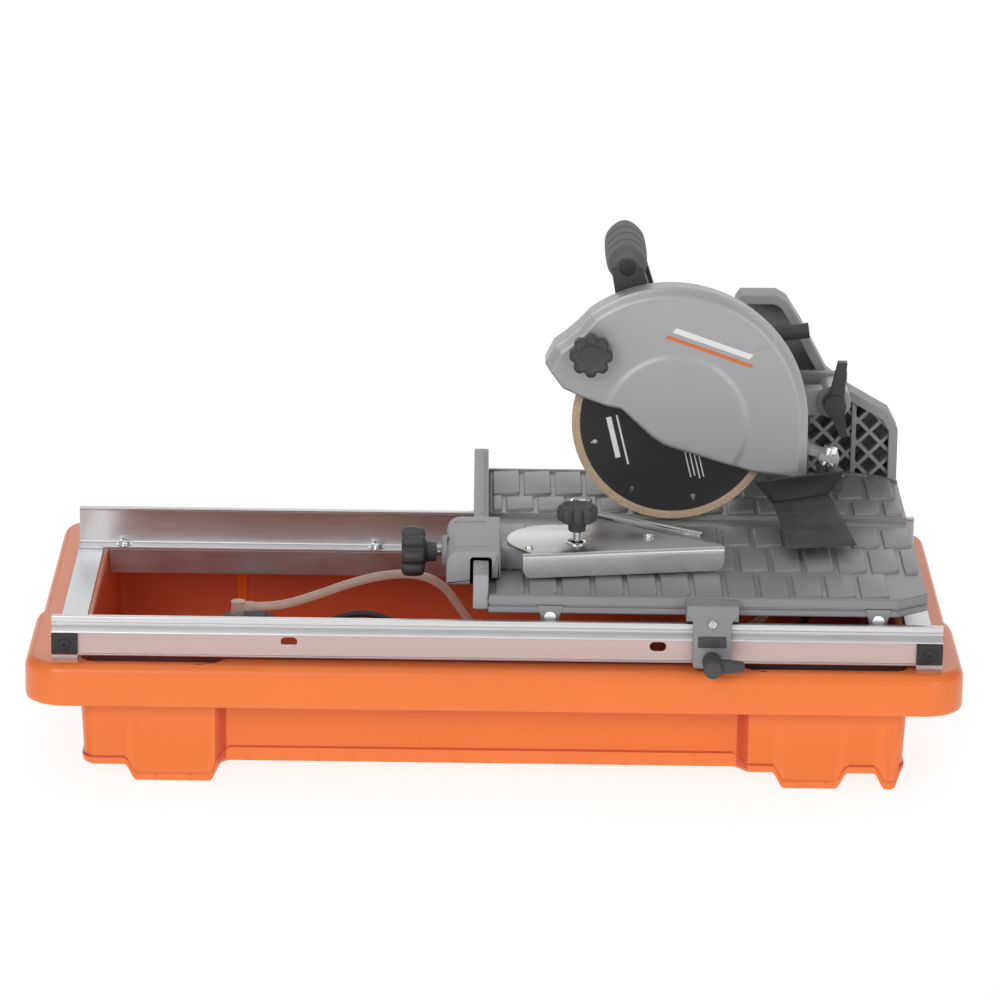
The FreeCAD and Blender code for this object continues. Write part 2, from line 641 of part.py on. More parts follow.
front_axle_z = track_z + front_roller_r + rolling_gap
rear_axle_z = rail_top + rear_roller_r + rolling_gap
save("table", make_table())
save("fence_bar", box(fence_left, fence_right, -188, 204, skirt_bottom + 2, fence_top).cut(
    box(fence_right - 0.01, fence_right, -188, 204, 0, 10)))
roller_y0 = table_front + 4.4
axle_solids = []
for x in roller_xs:
    front_axle = join([rod_y(2.5, x, front_axle_z, table_front - 1, roller_y0 + 8),
                       rod_y(5, x, front_axle_z, table_front - 4, table_front),
                       rod_y(4, x, front_axle_z, roller_y0 + 7.4, roller_y0 + 9)])
    rear_axle = join([rod_y(2, x, rear_axle_z, rear_roller_y - 3.4, rear_roller_y + 9)])
    axle_solids += [front_axle, rear_axle]
save("roller_axles", *axle_solids)
for side, x in zip(("left", "right"), roller_xs):
    front = tube(front_roller_r, 2.5 + gap, (x, roller_y0, front_axle_z), (x, roller_y0 + 7, front_axle_z))
    rear = tube(rear_roller_r, 2.0 + gap, (x, rear_roller_y - 3.5, rear_axle_z), (x, rear_roller_y + 4.5, rear_axle_z))
    save("front_roller_" + side, front)
    save("rear_roller_" + side, rear)

# Table lock: a bracket over the front rail with a cam lever
lock_x0, lock_x1 = 165.0, 199.0
lock_mid = (lock_x0 + lock_x1) / 2
lock_axis_z = 117.0
strap_y0, strap_y1 = -212.0, -205.0
strap = box(lock_x0, lock_x1, strap_y0, strap_y1, 109.5, table_top)
bridge = box(lock_x0, lock_x1, strap_y1, table_front, 149, table_top)
lock_bracket = join([strap, bridge]).cut(rod_y(4, lock_mid, lock_axis_z, strap_y0, strap_y1))
save("table_lock_bracket", lock_bracket)
cam = [rod_y(3.95, lock_mid, lock_axis_z, strap_y0 - 2, strap_y1 + 1),
       rod_y(7.5, lock_mid, lock_axis_z, -object_half_y, strap_y0 - 0.5),
       prism_y([(lock_mid, lock_axis_z - 5), (lock_mid + 26, lock_axis_z - 4), (lock_mid + 26, lock_axis_z + 4),
                (lock_mid, lock_axis_z + 5)], -232, -222)]
save("table_lock_lever", join(cam))

# ---------------------------------------------------------------- mitre guide
block_y0, block_y1 = -146.0, -40.0
pivot_x, pivot_y = 69.0, -110.0
plate_z = 188.0
screw_z = 172.0
clamp_y = -88.0


def make_guide_block():
    outer = box(-42, 4, block_y0, block_y1, 160, 190)
    outer = outer.makeFillet(6, [e for e in outer.Edges if e.BoundBox.XLength < 0.1 and e.BoundBox.ZLength < 0.1
                                 and e.BoundBox.XMin < -41 and e.BoundBox.ZMin > 189])
    groove = box(fence_left - 0.5, fence_right + 0.5, block_y0 - 1, block_y1 + 1, 150, fence_top + 0.5)
    table_room = box(fence_right, 5, block_y0 - 1, block_y1 + 1, 150, table_top + 0.6)
    arm = box(0, pivot_x + 12, pivot_y - 7, pivot_y + 14, table_top + 0.6, plate_z - 2.5)
    screw_hole = rod(4.05, (-43, clamp_y, screw_z), (fence_left - 0.5, clamp_y, screw_z))
    stud_hole = rod(3, (pivot_x, pivot_y, table_top), (pivot_x, pivot_y, plate_z))
    return outer.cut([groove, table_room]).fuse(arm).cut([screw_hole, stud_hole]).removeSplitter()


def lobed_knob(radius, lobes, lobe_r, depth):
    """Knob on +Z from 0 to depth."""
    core = [rod(radius - lobe_r * 0.9, (0, 0, 0), (0, 0, depth))]
    for i in range(lobes):
        a = 2 * math.pi * i / lobes
        spot = ((radius - lobe_r) * math.cos(a), (radius - lobe_r) * math.sin(a))
        core.append(rod(lobe_r, (*spot, 1.5), (*spot, depth - 1.5)))
    return join(core)


save("guide_block", make_guide_block())
clamp = lobed_knob(22, 8, 7.0, 23).fuse([rod(9, (0, 0, 23), (0, 0, 35)), rod(3.95, (0, 0, 35), (0, 0, 60.5))])
clamp = clamp.removeSplitter()
clamp.rotate(V(0, 0, 0), V(0, 1, 0), 90)
clamp.translate(V(-80.5, clamp_y, screw_z))
save("guide_clamp_knob", clamp)

plate_outline = [(55.8, -27.0), (38.0, -56.3), (16.0, -78.0), (7.0, -110.0), (12.0, -134.0), (22.9, -148.0),
                 (195.3, -116.8), (198.0, -98.0), (178.4, -90.9), (88.0, -28.6)]


def make_angle_plate():
    top = prism_z(plate_outline, plate_z - 2, plate_z)
    a, b = V(22.9, -148.0, 0), V(195.3, -116.8, 0)
    along = (b - a).normalize()
    normal = V(-along.y, along.x, 0)
    corners = [a, b, b + normal * 2, a + normal * 2]
    lip = prism_z([(p.x, p.y) for p in corners], table_top + 2, plate_z)
    end = prism_z([(195.3, -116.8), (198.0, -98.0), (196.0, -98.0), (193.3, -116.8)], plate_z - 10, plate_z)
    hole = rod(3.06, (pivot_x, pivot_y, plate_z - 3), (pivot_x, pivot_y, plate_z + 1))
    return join([top, lip, end]).cut(hole)


save("guide_plate", make_angle_plate())
strip_a, strip_b = V(90.0, -32.5, plate_z), V(176.5, -92.0, plate_z)
strip_run = strip_b - strip_a
strip = Part.makeBox(strip_run.Length, 6, 5)
strip.rotate(V(0, 0, 0), V(0, 0, 1), math.degrees(math.atan2(strip_run.y, strip_run.x)))
strip.translate(strip_a + V(-3.4, -4.9, 0))
save("guide_strip", strip)
guide_post = join([rod(3, (74, -33, plate_z), (74, -33, plate_z + 12)),
                   rod(9.5, (74, -33, plate_z + 12), (74, -33, plate_z + 15.5))])
save("guide_rivets", rod(4, (28, -128, plate_z), (28, -128, plate_z + 2)),
     rod(4.5, (130.6, -102, plate_z), (130.6, -102, plate_z + 6)),
     guide_post)
save("guide_stud", rod(3, (pivot_x, pivot_y, table_top + 0.7), (pivot_x, pivot_y, 204)))
guide_knob = lobed_knob(17, 7, 5.6, 21).fuse([rod(7, (0, 0, -11), (0, 0, 1)), rod(11, (0, 0, -12.4), (0, 0, -11))])
guide_knob = guide_knob.removeSplitter().cut(rod(3.06, (0, 0, -14), (0, 0, 3.5)))
guide_knob.translate(V(pivot_x, pivot_y, plate_z + 13))
guide_knob = guide_knob.cut(rod(3.06, (pivot_x, pivot_y, plate_z), (pivot_x, pivot_y, 205)))
save("guide_knob", guide_knob)

# ---------------------------------------------------------------- pump, hose and cable
pump_top = 70.0
tray_floor = floor_z + wall
pump_body = join([box(pump_x - 22, pump_x + 22, pump_y - 24, pump_y + 24, tray_floor + 4, pump_top - 6),
                  rod(17, (pump_x, pump_y, pump_top - 6), (pump_x, pump_y, pump_top))])
pump_feet = [rod(6, (pump_x + sx * 14, pump_y + sy * 16, tray_floor),
                 (pump_x + sx * 14, pump_y + sy * 16, tray_floor + 4)) for sx in (-1, 1) for sy in (-1, 1)]
elbow_x = pump_x - 8
elbow_out = (elbow_x + 14, pump_y, pump_top + 7)
elbow = join([rod(6.5, (elbow_x, pump_y, pump_top), (elbow_x, pump_y, pump_top + 12)),
              rod(4.6, (elbow_x, pump_y, pump_top + 7), elbow_out)])
save("pump_elbow", elbow)
cable_out = (pump_x + 30, pump_y - 12, pump_top - 14)
cable_y, cable_z = cable_out[1], cable_out[2]
pump_gland = rod(5, (pump_x + 22, pump_y - 12, pump_top - 14), cable_out)
save("pump_body", join([pump_body, pump_gland] + pump_feet))
hose_in, cable_in = (268.0, 165.0, frame_z), (300.0, 165.0, frame_z)
save("line_fittings", join([rod(6, hose_in, (268.0, 165.0, frame_z + 12)), rod(4.6, (268, 165, 97), hose_in)]),
     join([rod(6, cable_in, (300.0, 165.0, frame_z + 12)), rod(5, (300, 165, 97), cable_in)]),
     join([rod(7, (base_x1 - 6, 180, 122), (base_x1, 180, 122)),
           rod(8.5, (base_x1, 180, 122), (base_x1 + 9, 180, 122))]))


def routed_tube(name, points, diameter):
    """Straight runs joined by the largest tangent arcs that they allow."""
    spots = [V(*p) for p in points]
    edges, here, radii, length = [], spots[0], [], 0.0
    for before, corner, after in zip(spots, spots[1:], spots[2:]):
        into, out = (corner - before), (after - corner)
        turn = into.getAngle(out)
        reach = 0.45 * min(into.Length, out.Length)
        radii.append(reach / math.tan(turn / 2))
        a = corner - into.normalize() * reach
        b = corner + out.normalize() * reach
        bisector = (out - into).normalize()
        centre = corner + bisector * (radii[-1] / math.cos(turn / 2))
        middle = centre - bisector * radii[-1]
        edges.append(Part.LineSegment(here, a).toShape())
        edges.append(Part.Arc(a, middle, b).toShape())
        here = b
    edges.append(Part.LineSegment(here, spots[-1]).toShape())
    path = Part.Wire(edges)
    start = (spots[1] - spots[0]).normalize()
    section = Part.Wire(Part.makeCircle(diameter / 2, spots[0], start))
    solid = path.makePipeShell([section], True, False)
    ideal = math.pi * diameter ** 2 / 4 * path.Length
    print(name, "length", round(path.Length, 1), "radii", [round(r) for r in radii],
          "volume ratio", round(solid.Volume / ideal, 4))
    save(name, solid)


hose_route = [
    elbow_out, (-192, 50, 77), (-160, 47, 88), (-128, 46, 101), (-96, 48, 109), (-66, 51, 109), (-44, 55, 97),
    (-30, 58, 75), (-12, 62, 50), (22, 66, 34), (70, 66, 30), (124, 72, 27), (176, 92, 27), (222, 124, 32),
    (254, 152, 48), (268, 165, 74), (268, 165, 97)]
cable_route = [
    cable_out, (-170, cable_y, cable_z), (-146, 34, 66), (-116, 30, 72), (-86, 27, 62), (-58, 24, 44),
    (-22, 22, 30), (24, 24, 24), (78, 30, 22), (134, 42, 22), (190, 60, 22), (240, 92, 24), (278, 132, 36),
    (300, 165, 66), (300, 165, 97)]
routed_tube("water_hose", hose_route, hose_d)
routed_tube("pump_cable", cable_route, cable_d)
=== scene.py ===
import json
import math

import bpy
import bmesh
import numpy as np
from mathutils import Matrix, Vector


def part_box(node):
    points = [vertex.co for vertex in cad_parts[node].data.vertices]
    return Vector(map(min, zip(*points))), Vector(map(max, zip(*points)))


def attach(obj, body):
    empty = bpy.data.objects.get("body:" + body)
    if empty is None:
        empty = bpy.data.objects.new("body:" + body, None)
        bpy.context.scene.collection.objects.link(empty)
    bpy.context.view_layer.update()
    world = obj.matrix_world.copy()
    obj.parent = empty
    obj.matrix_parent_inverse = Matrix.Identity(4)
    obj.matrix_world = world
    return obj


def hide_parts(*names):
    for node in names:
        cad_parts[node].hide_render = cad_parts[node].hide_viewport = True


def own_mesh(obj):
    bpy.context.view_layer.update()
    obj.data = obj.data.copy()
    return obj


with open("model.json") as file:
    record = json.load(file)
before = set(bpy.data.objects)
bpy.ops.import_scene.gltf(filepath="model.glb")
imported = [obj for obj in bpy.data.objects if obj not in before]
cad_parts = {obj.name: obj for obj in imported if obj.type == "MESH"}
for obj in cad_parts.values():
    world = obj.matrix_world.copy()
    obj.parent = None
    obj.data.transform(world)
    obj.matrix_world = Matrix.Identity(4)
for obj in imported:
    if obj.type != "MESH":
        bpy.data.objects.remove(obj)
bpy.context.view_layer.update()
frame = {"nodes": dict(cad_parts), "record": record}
nodes = frame["nodes"]
scene = bpy.context.scene
mm = 0.001
print("frame loaded:", len(nodes), "nodes")


# Shader helpers

def put(tree, kind, values=None, **settings):  # one node, its sockets set by name or number
    node = tree.nodes.new("ShaderNode" + kind)
    for key, value in settings.items():
        setattr(node, key, value)
    for key, value in (values or {}).items():
        node.inputs[key].default_value = value
    return node


def mathNode(tree, operation, a, b=0.0, clamp=False):  # a and b are sockets or numbers
    node = put(tree, "Math", operation=operation, use_clamp=clamp)
    for socket, value in zip(node.inputs, (a, b)):
        if isinstance(value, (int, float)):
            socket.default_value = value
        else:
            tree.links.new(value, socket)
    return node.outputs[0]


def mixColour(tree, factor, a, b, blend="MIX"):  # a and b are sockets or colours
    node = put(tree, "Mix", data_type="RGBA", blend_type=blend)
    for socket, value in ((node.inputs[0], factor), (node.inputs[6], a), (node.inputs[7], b)):
        if isinstance(value, (int, float, tuple)):
            socket.default_value = value
        else:
            tree.links.new(value, socket)
    return node.outputs[2]


def ramp(tree, value, low, high):  # 0 below low, 1 above high, straight between
    node = put(tree, "MapRange", {"From Min": low, "From Max": high}, clamp=True)
    tree.links.new(value, node.inputs["Value"])
    return node.outputs["Result"]


def newGroup(name, inputs, outputs):  # a shader node group with named sockets
    tree = bpy.data.node_groups.new(name, "ShaderNodeTree")
    for label, kind, value in inputs:
        socket = tree.interface.new_socket(label, in_out="INPUT", socket_type="NodeSocket" + kind)
        if value is not None:
            socket.default_value = value
    for label, kind in outputs:
        tree.interface.new_socket(label, in_out="OUTPUT", socket_type="NodeSocket" + kind)
    return tree, tree.nodes.new("NodeGroupInput"), tree.nodes.new("NodeGroupOutput")


def rgb(red, green, blue, alpha=1.0):  # a screen colour, 0 to 255, as linear light
    parts = [c / 255 for c in (red, green, blue)]
    return tuple(c / 12.92 if c <= 0.04045 else ((c + 0.055) / 1.055) ** 2.4 for c in parts) + (alpha,)


# Shared effects

def buildSoftEdges():
    # Rounds the corners in the shading and gives 1 on worn edges, 0 on flats:
    # the dot product of the true normal and the rounded one falls off at an edge.
    tree, start, end = newGroup("softEdges", [("Radius", "Float", 0.001), ("Wear scale", "Float", 90.0)],
                                [("Normal", "Vector"), ("Edge", "Float")])
    bevel = put(tree, "Bevel", samples=4)
    tree.links.new(start.outputs["Radius"], bevel.inputs["Radius"])
    true = put(tree, "NewGeometry")
    dot = put(tree, "VectorMath", operation="DOT_PRODUCT")
    tree.links.new(bevel.outputs[0], dot.inputs[0])
    tree.links.new(true.outputs["Normal"], dot.inputs[1])
    place = put(tree, "TexCoord")
    noise = put(tree, "TexNoise", {"Detail": 4.0, "Roughness": 0.6})
    tree.links.new(place.outputs["Object"], noise.inputs["Vector"])
    tree.links.new(start.outputs["Wear scale"], noise.inputs["Scale"])
    sharp = ramp(tree, mathNode(tree, "SUBTRACT", 1.0, dot.outputs["Value"]), 0.02, 0.2)
    patchy = ramp(tree, noise.outputs["Fac"], 0.45, 0.7)
    tree.links.new(bevel.outputs[0], end.inputs["Normal"])
    tree.links.new(mathNode(tree, "MULTIPLY", sharp, patchy), end.inputs["Edge"])
    return tree


def buildSkin():
    # Slow cloudy change of tone, fine speckle, and a height for the bump: three sizes of noise added up.
    tree, start, end = newGroup(
        "skin", [("Color", "Color", (0.5, 0.5, 0.5, 1)), ("Tone", "Float", 0.1), ("Cloud scale", "Float", 9.0),
                 ("Grain scale", "Float", 900.0), ("Roughness", "Float", 0.5), ("Spread", "Float", 0.08)],
        [("Color", "Color"), ("Roughness", "Float"), ("Height", "Float")])
    place = put(tree, "TexCoord")
    cloud = put(tree, "TexNoise", {"Detail": 3.0})
    grain = put(tree, "TexNoise", {"Detail": 2.0, "Roughness": 0.6})
    for noise, label in ((cloud, "Cloud scale"), (grain, "Grain scale")):
        tree.links.new(place.outputs["Object"], noise.inputs["Vector"])
        tree.links.new(start.outputs[label], noise.inputs["Scale"])
    swing = mathNode(tree, "MULTIPLY", mathNode(tree, "SUBTRACT", cloud.outputs["Fac"], 0.5), start.outputs["Tone"])
    speck = mathNode(tree, "MULTIPLY", mathNode(tree, "SUBTRACT", grain.outputs["Fac"], 0.5),
                     mathNode(tree, "MULTIPLY", start.outputs["Tone"], 0.7))
    shade = put(tree, "HueSaturation")
    tree.links.new(start.outputs["Color"], shade.inputs["Color"])
    tree.links.new(mathNode(tree, "ADD", mathNode(tree, "ADD", swing, speck), 1.0), shade.inputs["Value"])
    uneven = mathNode(tree, "MULTIPLY", mathNode(tree, "SUBTRACT", cloud.outputs["Fac"], 0.5),
                      start.outputs["Spread"])
    tree.links.new(shade.outputs[0], end.inputs["Color"])
    tree.links.new(mathNode(tree, "ADD", start.outputs["Roughness"], uneven, True), end.inputs["Roughness"])
    tree.links.new(grain.outputs["Fac"], end.inputs["Height"])
    return tree


def buildLines():
    # Fine parallel lines, as drawing, rolling or brushing leave: noise stretched by 1 over Stretch along one way.
    tree, start, end = newGroup(
        "lines", [("Stretch", "Vector", (1.0, 60.0, 60.0)), ("Scale", "Float", 20.0), ("Amount", "Float", 0.5)],
        [("Value", "Float"), ("Height", "Float")])
    place = put(tree, "TexCoord")
    stretch = put(tree, "VectorMath", operation="MULTIPLY")
    tree.links.new(place.outputs["Object"], stretch.inputs[0])
    tree.links.new(start.outputs["Stretch"], stretch.inputs[1])
    noise = put(tree, "TexNoise", {"Detail": 3.0, "Roughness": 0.65})
    tree.links.new(stretch.outputs[0], noise.inputs["Vector"])
    tree.links.new(start.outputs["Scale"], noise.inputs["Scale"])
    value = mathNode(tree, "MULTIPLY", mathNode(tree, "SUBTRACT", noise.outputs["Fac"], 0.5), start.outputs["Amount"])
    tree.links.new(value, end.inputs["Value"])
    tree.links.new(noise.outputs["Fac"], end.inputs["Height"])
    return tree


def buildDust():
    # Pale settled dust: more where the face looks up, broken up by noise.
    tree, start, end = newGroup(
        "dust", [("Color", "Color", (0.5, 0.5, 0.5, 1)), ("Dust", "Color", (0.6, 0.58, 0.55, 1)),
                 ("Amount", "Float", 0.2)], [("Color", "Color"), ("Mask", "Float")])
    true = put(tree, "NewGeometry")
    split = put(tree, "SeparateXYZ")
    tree.links.new(true.outputs["Normal"], split.inputs[0])
    place = put(tree, "TexCoord")
    noise = put(tree, "TexNoise", {"Scale": 38.0, "Detail": 5.0, "Roughness": 0.65})
    tree.links.new(place.outputs["Object"], noise.inputs["Vector"])
    up = ramp(tree, split.outputs["Z"], 0.2, 0.95)
    mask = mathNode(tree, "MULTIPLY", mathNode(tree, "MULTIPLY", up, ramp(tree, noise.outputs["Fac"], 0.35, 0.75)),
                    start.outputs["Amount"])
    tree.links.new(mixColour(tree, mask, start.outputs["Color"], start.outputs["Dust"]), end.inputs["Color"])
    tree.links.new(mask, end.inputs["Mask"])
    return tree


effects = {"softEdges": buildSoftEdges(), "skin": buildSkin(), "lines": buildLines(), "dust": buildDust()}


def effect(tree, name, values=None):
    node = put(tree, "Group", node_tree=effects[name])
    for key, value in (values or {}).items():
        if isinstance(value, bpy.types.NodeSocket):
            tree.links.new(value, node.inputs[key])
        else:
            node.inputs[key].default_value = value
    return node


materials = {}


def newMaterial(name, **uniform):  # a material with its shader; uniform numbers go straight on the sockets
    material = bpy.data.materials.new(name)
    material.use_nodes = True
    tree = material.node_tree
    shader = tree.nodes["Principled BSDF"]
    for key, value in uniform.items():
        shader.inputs[key.replace("_", " ")].default_value = value
    materials[name] = material
    return tree, shader


def bumpFrom(tree, height, normal, strength, distance):
    bump = put(tree, "Bump", {"Strength": strength, "Distance": distance})
    tree.links.new(height, bump.inputs["Height"])
    if normal is not None:
        tree.links.new(normal, bump.inputs["Normal"])
    return bump.outputs[0]


def coated(name, look, **uniform):
    # A skin over one colour: paint, moulded plastic or rubber, with rounded and worn edges and a little dust.
    tree, shader = newMaterial(name, **uniform)
    edges = effect(tree, "softEdges", {"Radius": look["edge"], "Wear scale": look.get("wearScale", 90.0)})
    skin = effect(tree, "skin", {"Color": look["color"], "Tone": look["tone"], "Grain scale": look["grain"],
                                 "Cloud scale": look.get("cloud", 9.0), "Roughness": look["rough"],
                                 "Spread": look.get("spread", 0.1)})
    worn = mixColour(tree, mathNode(tree, "MULTIPLY", edges.outputs["Edge"], look["wear"]),
                     skin.outputs["Color"], look["worn"])
    dusty = effect(tree, "dust", {"Color": worn, "Amount": look.get("dust", 0.0)})
    tree.links.new(dusty.outputs["Color"], shader.inputs["Base Color"])
    tree.links.new(mathNode(tree, "ADD", skin.outputs["Roughness"], mathNode(
        tree, "MULTIPLY", dusty.outputs["Mask"], 0.4), True), shader.inputs["Roughness"])
    tree.links.new(bumpFrom(tree, skin.outputs["Height"], edges.outputs["Normal"], look["bump"], look["depth"]),
                   shader.inputs["Normal"])


def metal(name, look, **uniform):
    # Bare metal: fine lines along one way over a soft cloudy tone, brighter on rubbed edges.
    tree, shader = newMaterial(name, Metallic=1.0, **uniform)
    edges = effect(tree, "softEdges", {"Radius": look["edge"]})
    skin = effect(tree, "skin", {"Color": look["color"], "Tone": look["tone"],
                                 "Grain scale": look.get("grain", 600.0), "Cloud scale": look.get("cloud", 14.0),
                                 "Roughness": look["rough"], "Spread": look.get("spread", 0.12)})
    lines = effect(tree, "lines", {"Stretch": look["stretch"], "Scale": look.get("scale", 20.0),
                                   "Amount": look["lines"]})
    bright = mixColour(tree, mathNode(tree, "MULTIPLY", edges.outputs["Edge"], look.get("wear", 0.3)),
                       skin.outputs["Color"], (0.9, 0.9, 0.9, 1))
    shade = put(tree, "HueSaturation")
    tree.links.new(bright, shade.inputs["Color"])
    tree.links.new(mathNode(tree, "ADD", lines.outputs["Value"], 1.0), shade.inputs["Value"])
    tree.links.new(shade.outputs[0], shader.inputs["Base Color"])
    tree.links.new(mathNode(tree, "ADD", skin.outputs["Roughness"], lines.outputs["Value"], True),
                   shader.inputs["Roughness"])
    tree.links.new(bumpFrom(tree, lines.outputs["Height"], edges.outputs["Normal"], look["bump"], look["depth"]),
                   shader.inputs["Normal"])


# Finishes

coated("trayPlastic", {"color": (0.84, 0.175, 0.022, 1), "tone": 0.08, "grain": 420.0, "rough": 0.36, "spread": 0.1,
                       "edge": 0.0022, "wear": 0.35, "worn": (0.95, 0.42, 0.2, 1), "wearScale": 40.0,
                       "bump": 0.25, "depth": 0.0002, "dust": 0.06}, Coat_Weight=0.15, Coat_Roughness=0.25)
# Painted shade: a darker, redder copy of the tray plastic for the inner walls and floor, where shade falls.
coated("trayInsideShade", {"color": (0.62, 0.075, 0.012, 1), "tone": 0.1, "grain": 420.0, "rough": 0.42, "spread": 0.1,
                     "edge": 0.0022, "wear": 0.1, "worn": (0.8, 0.2, 0.06, 1), "bump": 0.25, "depth": 0.0002,
                     "dust": 0.03}, Coat_Weight=0.1)
coated("guardPaint", {"color": rgb(170, 169, 171), "tone": 0.04, "grain": 1500.0, "rough": 0.42,
                      "edge": 0.0012, "wear": 0.5, "worn": (0.62, 0.62, 0.62, 1),
                      "bump": 0.12, "depth": 0.0001}, Metallic=0.35, Coat_Weight=0.2, Coat_Roughness=0.3)
coated("castGrey", {"color": rgb(158, 158, 161), "tone": 0.10, "grain": 700.0, "rough": 0.5,
                    "edge": 0.0012, "wear": 0.5, "worn": (0.4, 0.4, 0.41, 1),
                    "bump": 0.35, "depth": 0.0002, "dust": 0.05}, Metallic=0.15)
coated("tablePaint", {"color": rgb(136, 136, 139), "tone": 0.10, "grain": 900.0, "rough": 0.42,
                      "edge": 0.0009, "wear": 0.55, "worn": (0.42, 0.42, 0.43, 1),
                      "bump": 0.3, "depth": 0.0002, "dust": 0.05}, Metallic=0.2, Coat_Weight=0.1)
coated("darkPlastic", {"color": rgb(62, 62, 64), "tone": 0.12, "grain": 1200.0, "rough": 0.5,
                       "edge": 0.0008, "wear": 0.3, "worn": (0.14, 0.14, 0.145, 1),
                       "bump": 0.35, "depth": 0.0002, "dust": 0.04})
coated("blackRubber", {"color": rgb(38, 38, 39), "tone": 0.15, "grain": 800.0, "rough": 0.62,
                       "edge": 0.0008, "wear": 0.2, "worn": (0.08, 0.08, 0.08, 1),
                       "bump": 0.3, "depth": 0.0002, "dust": 0.06})
coated("gripRubber", {"color": rgb(92, 92, 94), "tone": 0.14, "grain": 1000.0, "rough": 0.58,
                      "edge": 0.0009, "wear": 0.3, "worn": (0.2, 0.2, 0.2, 1),
                      "bump": 0.4, "depth": 0.0002, "dust": 0.05})
coated("redPlastic", {"color": rgb(170, 30, 26), "tone": 0.06, "grain": 900.0, "rough": 0.32,
                      "edge": 0.0007, "wear": 0.2, "worn": (0.6, 0.1, 0.08, 1), "bump": 0.15, "depth": 0.0001})
metal("railAluminium", {"color": (0.70, 0.70, 0.71, 1), "tone": 0.05, "rough": 0.40, "edge": 0.0006,
                        "stretch": (0.6, 90.0, 90.0), "scale": 14.0, "lines": 0.16, "bump": 0.25, "depth": 0.0001})
# Painted reflection: the front rail's flat face is tinted pink to stand in for what the metal mirrors.
metal("railFaceReflectionTint", {"color": (0.60, 0.47, 0.455, 1), "tone": 0.05, "rough": 0.46, "edge": 0.0006,
                   "stretch": (0.6, 90.0, 90.0), "scale": 14.0, "lines": 0.16, "bump": 0.25, "depth": 0.0001})
metal("zincSheet", {"color": (0.62, 0.63, 0.65, 1), "tone": 0.12, "rough": 0.34, "edge": 0.0006, "cloud": 30.0,
                    "stretch": (1.0, 20.0, 20.0), "lines": 0.10, "bump": 0.15, "depth": 0.0001})
metal("groundSteel", {"color": (0.58, 0.58, 0.59, 1), "tone": 0.08, "rough": 0.28, "edge": 0.0004,
                      "stretch": (30.0, 1.0, 30.0), "lines": 0.18, "bump": 0.2, "depth": 0.00005})
metal("brushedSheet", {"color": (0.56, 0.545, 0.535, 1), "tone": 0.12, "rough": 0.33, "edge": 0.0006, "wear": 0.0,
                       "cloud": 22.0, "stretch": (4.0, 60.0, 20.0), "lines": 0.14, "bump": 0.1, "depth": 0.00005})
metal("brightZinc", {"color": (0.86, 0.86, 0.87, 1), "tone": 0.05, "rough": 0.14, "edge": 0.0004, "spread": 0.05,
                     "stretch": (20.0, 20.0, 20.0), "lines": 0.05, "bump": 0.05, "depth": 0.00005})


def buildBladePaint(centre, rimRadius):
    # Black printed core and a tan diamond rim, told apart by the distance from the blade's axis;
    # the rim's surface is a coarse sintered grain, and faint turning marks run round the core.
    tree, shader = newMaterial("bladePaint")
    place = put(tree, "TexCoord")
    shift = put(tree, "VectorMath", {1: tuple(-c for c in centre)}, operation="ADD")
    tree.links.new(place.outputs["Object"], shift.inputs[0])
    flat = put(tree, "VectorMath", {1: (1.0, 0.0, 1.0)}, operation="MULTIPLY")
    tree.links.new(shift.outputs[0], flat.inputs[0])
    radius = put(tree, "VectorMath", operation="LENGTH")
    tree.links.new(flat.outputs[0], radius.inputs[0])
    away = radius.outputs["Value"]
    rim = ramp(tree, away, rimRadius - 0.0003, rimRadius + 0.0003)
    grit = put(tree, "TexNoise", {"Scale": 1400.0, "Detail": 3.0})
    blotch = put(tree, "TexNoise", {"Scale": 60.0, "Detail": 3.0})
    for noise in (grit, blotch):
        tree.links.new(place.outputs["Object"], noise.inputs["Vector"])
    tan = mixColour(tree, ramp(tree, grit.outputs["Fac"], 0.35, 0.65), rgb(168, 140, 112), rgb(216, 196, 168))
    tan = mixColour(tree, ramp(tree, blotch.outputs["Fac"], 0.5, 0.75), tan, rgb(186, 160, 132))
    turning = put(tree, "TexNoise", {"Scale": 1.0, "Detail": 3.0})
    rings = put(tree, "CombineXYZ")
    tree.links.new(mathNode(tree, "MULTIPLY", away, 1600.0), rings.inputs[0])
    tree.links.new(rings.outputs[0], turning.inputs["Vector"])
    black = mixColour(tree, ramp(tree, turning.outputs["Fac"], 0.4, 0.7), rgb(20, 20, 21), rgb(30, 30, 31))
    tree.links.new(mixColour(tree, rim, black, tan), shader.inputs["Base Color"])
    tree.links.new(mathNode(tree, "ADD", mathNode(tree, "MULTIPLY", rim, 0.3), 0.38), shader.inputs["Roughness"])
    height = mathNode(tree, "MULTIPLY", grit.outputs["Fac"], rim)
    tree.links.new(bumpFrom(tree, mathNode(tree, "ADD", height, mathNode(
        tree, "MULTIPLY", turning.outputs["Fac"], 0.15)), None, 0.4, 0.0002), shader.inputs["Normal"])


def buildClearVinyl():
    # Clear soft tube: mostly see-through, milky where it turns away from the eye.
    tree, shader = newMaterial("clearVinyl", Roughness=0.18, IOR=1.45)
    facing = put(tree, "LayerWeight", {"Blend": 0.35})
    place = put(tree, "TexCoord")
    noise = put(tree, "TexNoise", {"Scale": 60.0, "Detail": 3.0})
    tree.links.new(place.outputs["Object"], noise.inputs["Vector"])
    milk = mixColour(tree, ramp(tree, noise.outputs["Fac"], 0.3, 0.8), rgb(236, 228, 214), rgb(214, 200, 184))
    tree.links.new(milk, shader.inputs["Base Color"])
    edge = mathNode(tree, "MULTIPLY", facing.outputs["Facing"], 0.45)
    tree.links.new(mathNode(tree, "ADD", edge, 0.38, True), shader.inputs["Alpha"])


rimShare = 0.92  # the black core ends at this share of the blade's radius
low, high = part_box("blade")
buildBladePaint((low + high) / 2, (high.z - low.z) / 2 * rimShare)
buildClearVinyl()
print("finishes made:", len(materials))


# Camera, light and floor

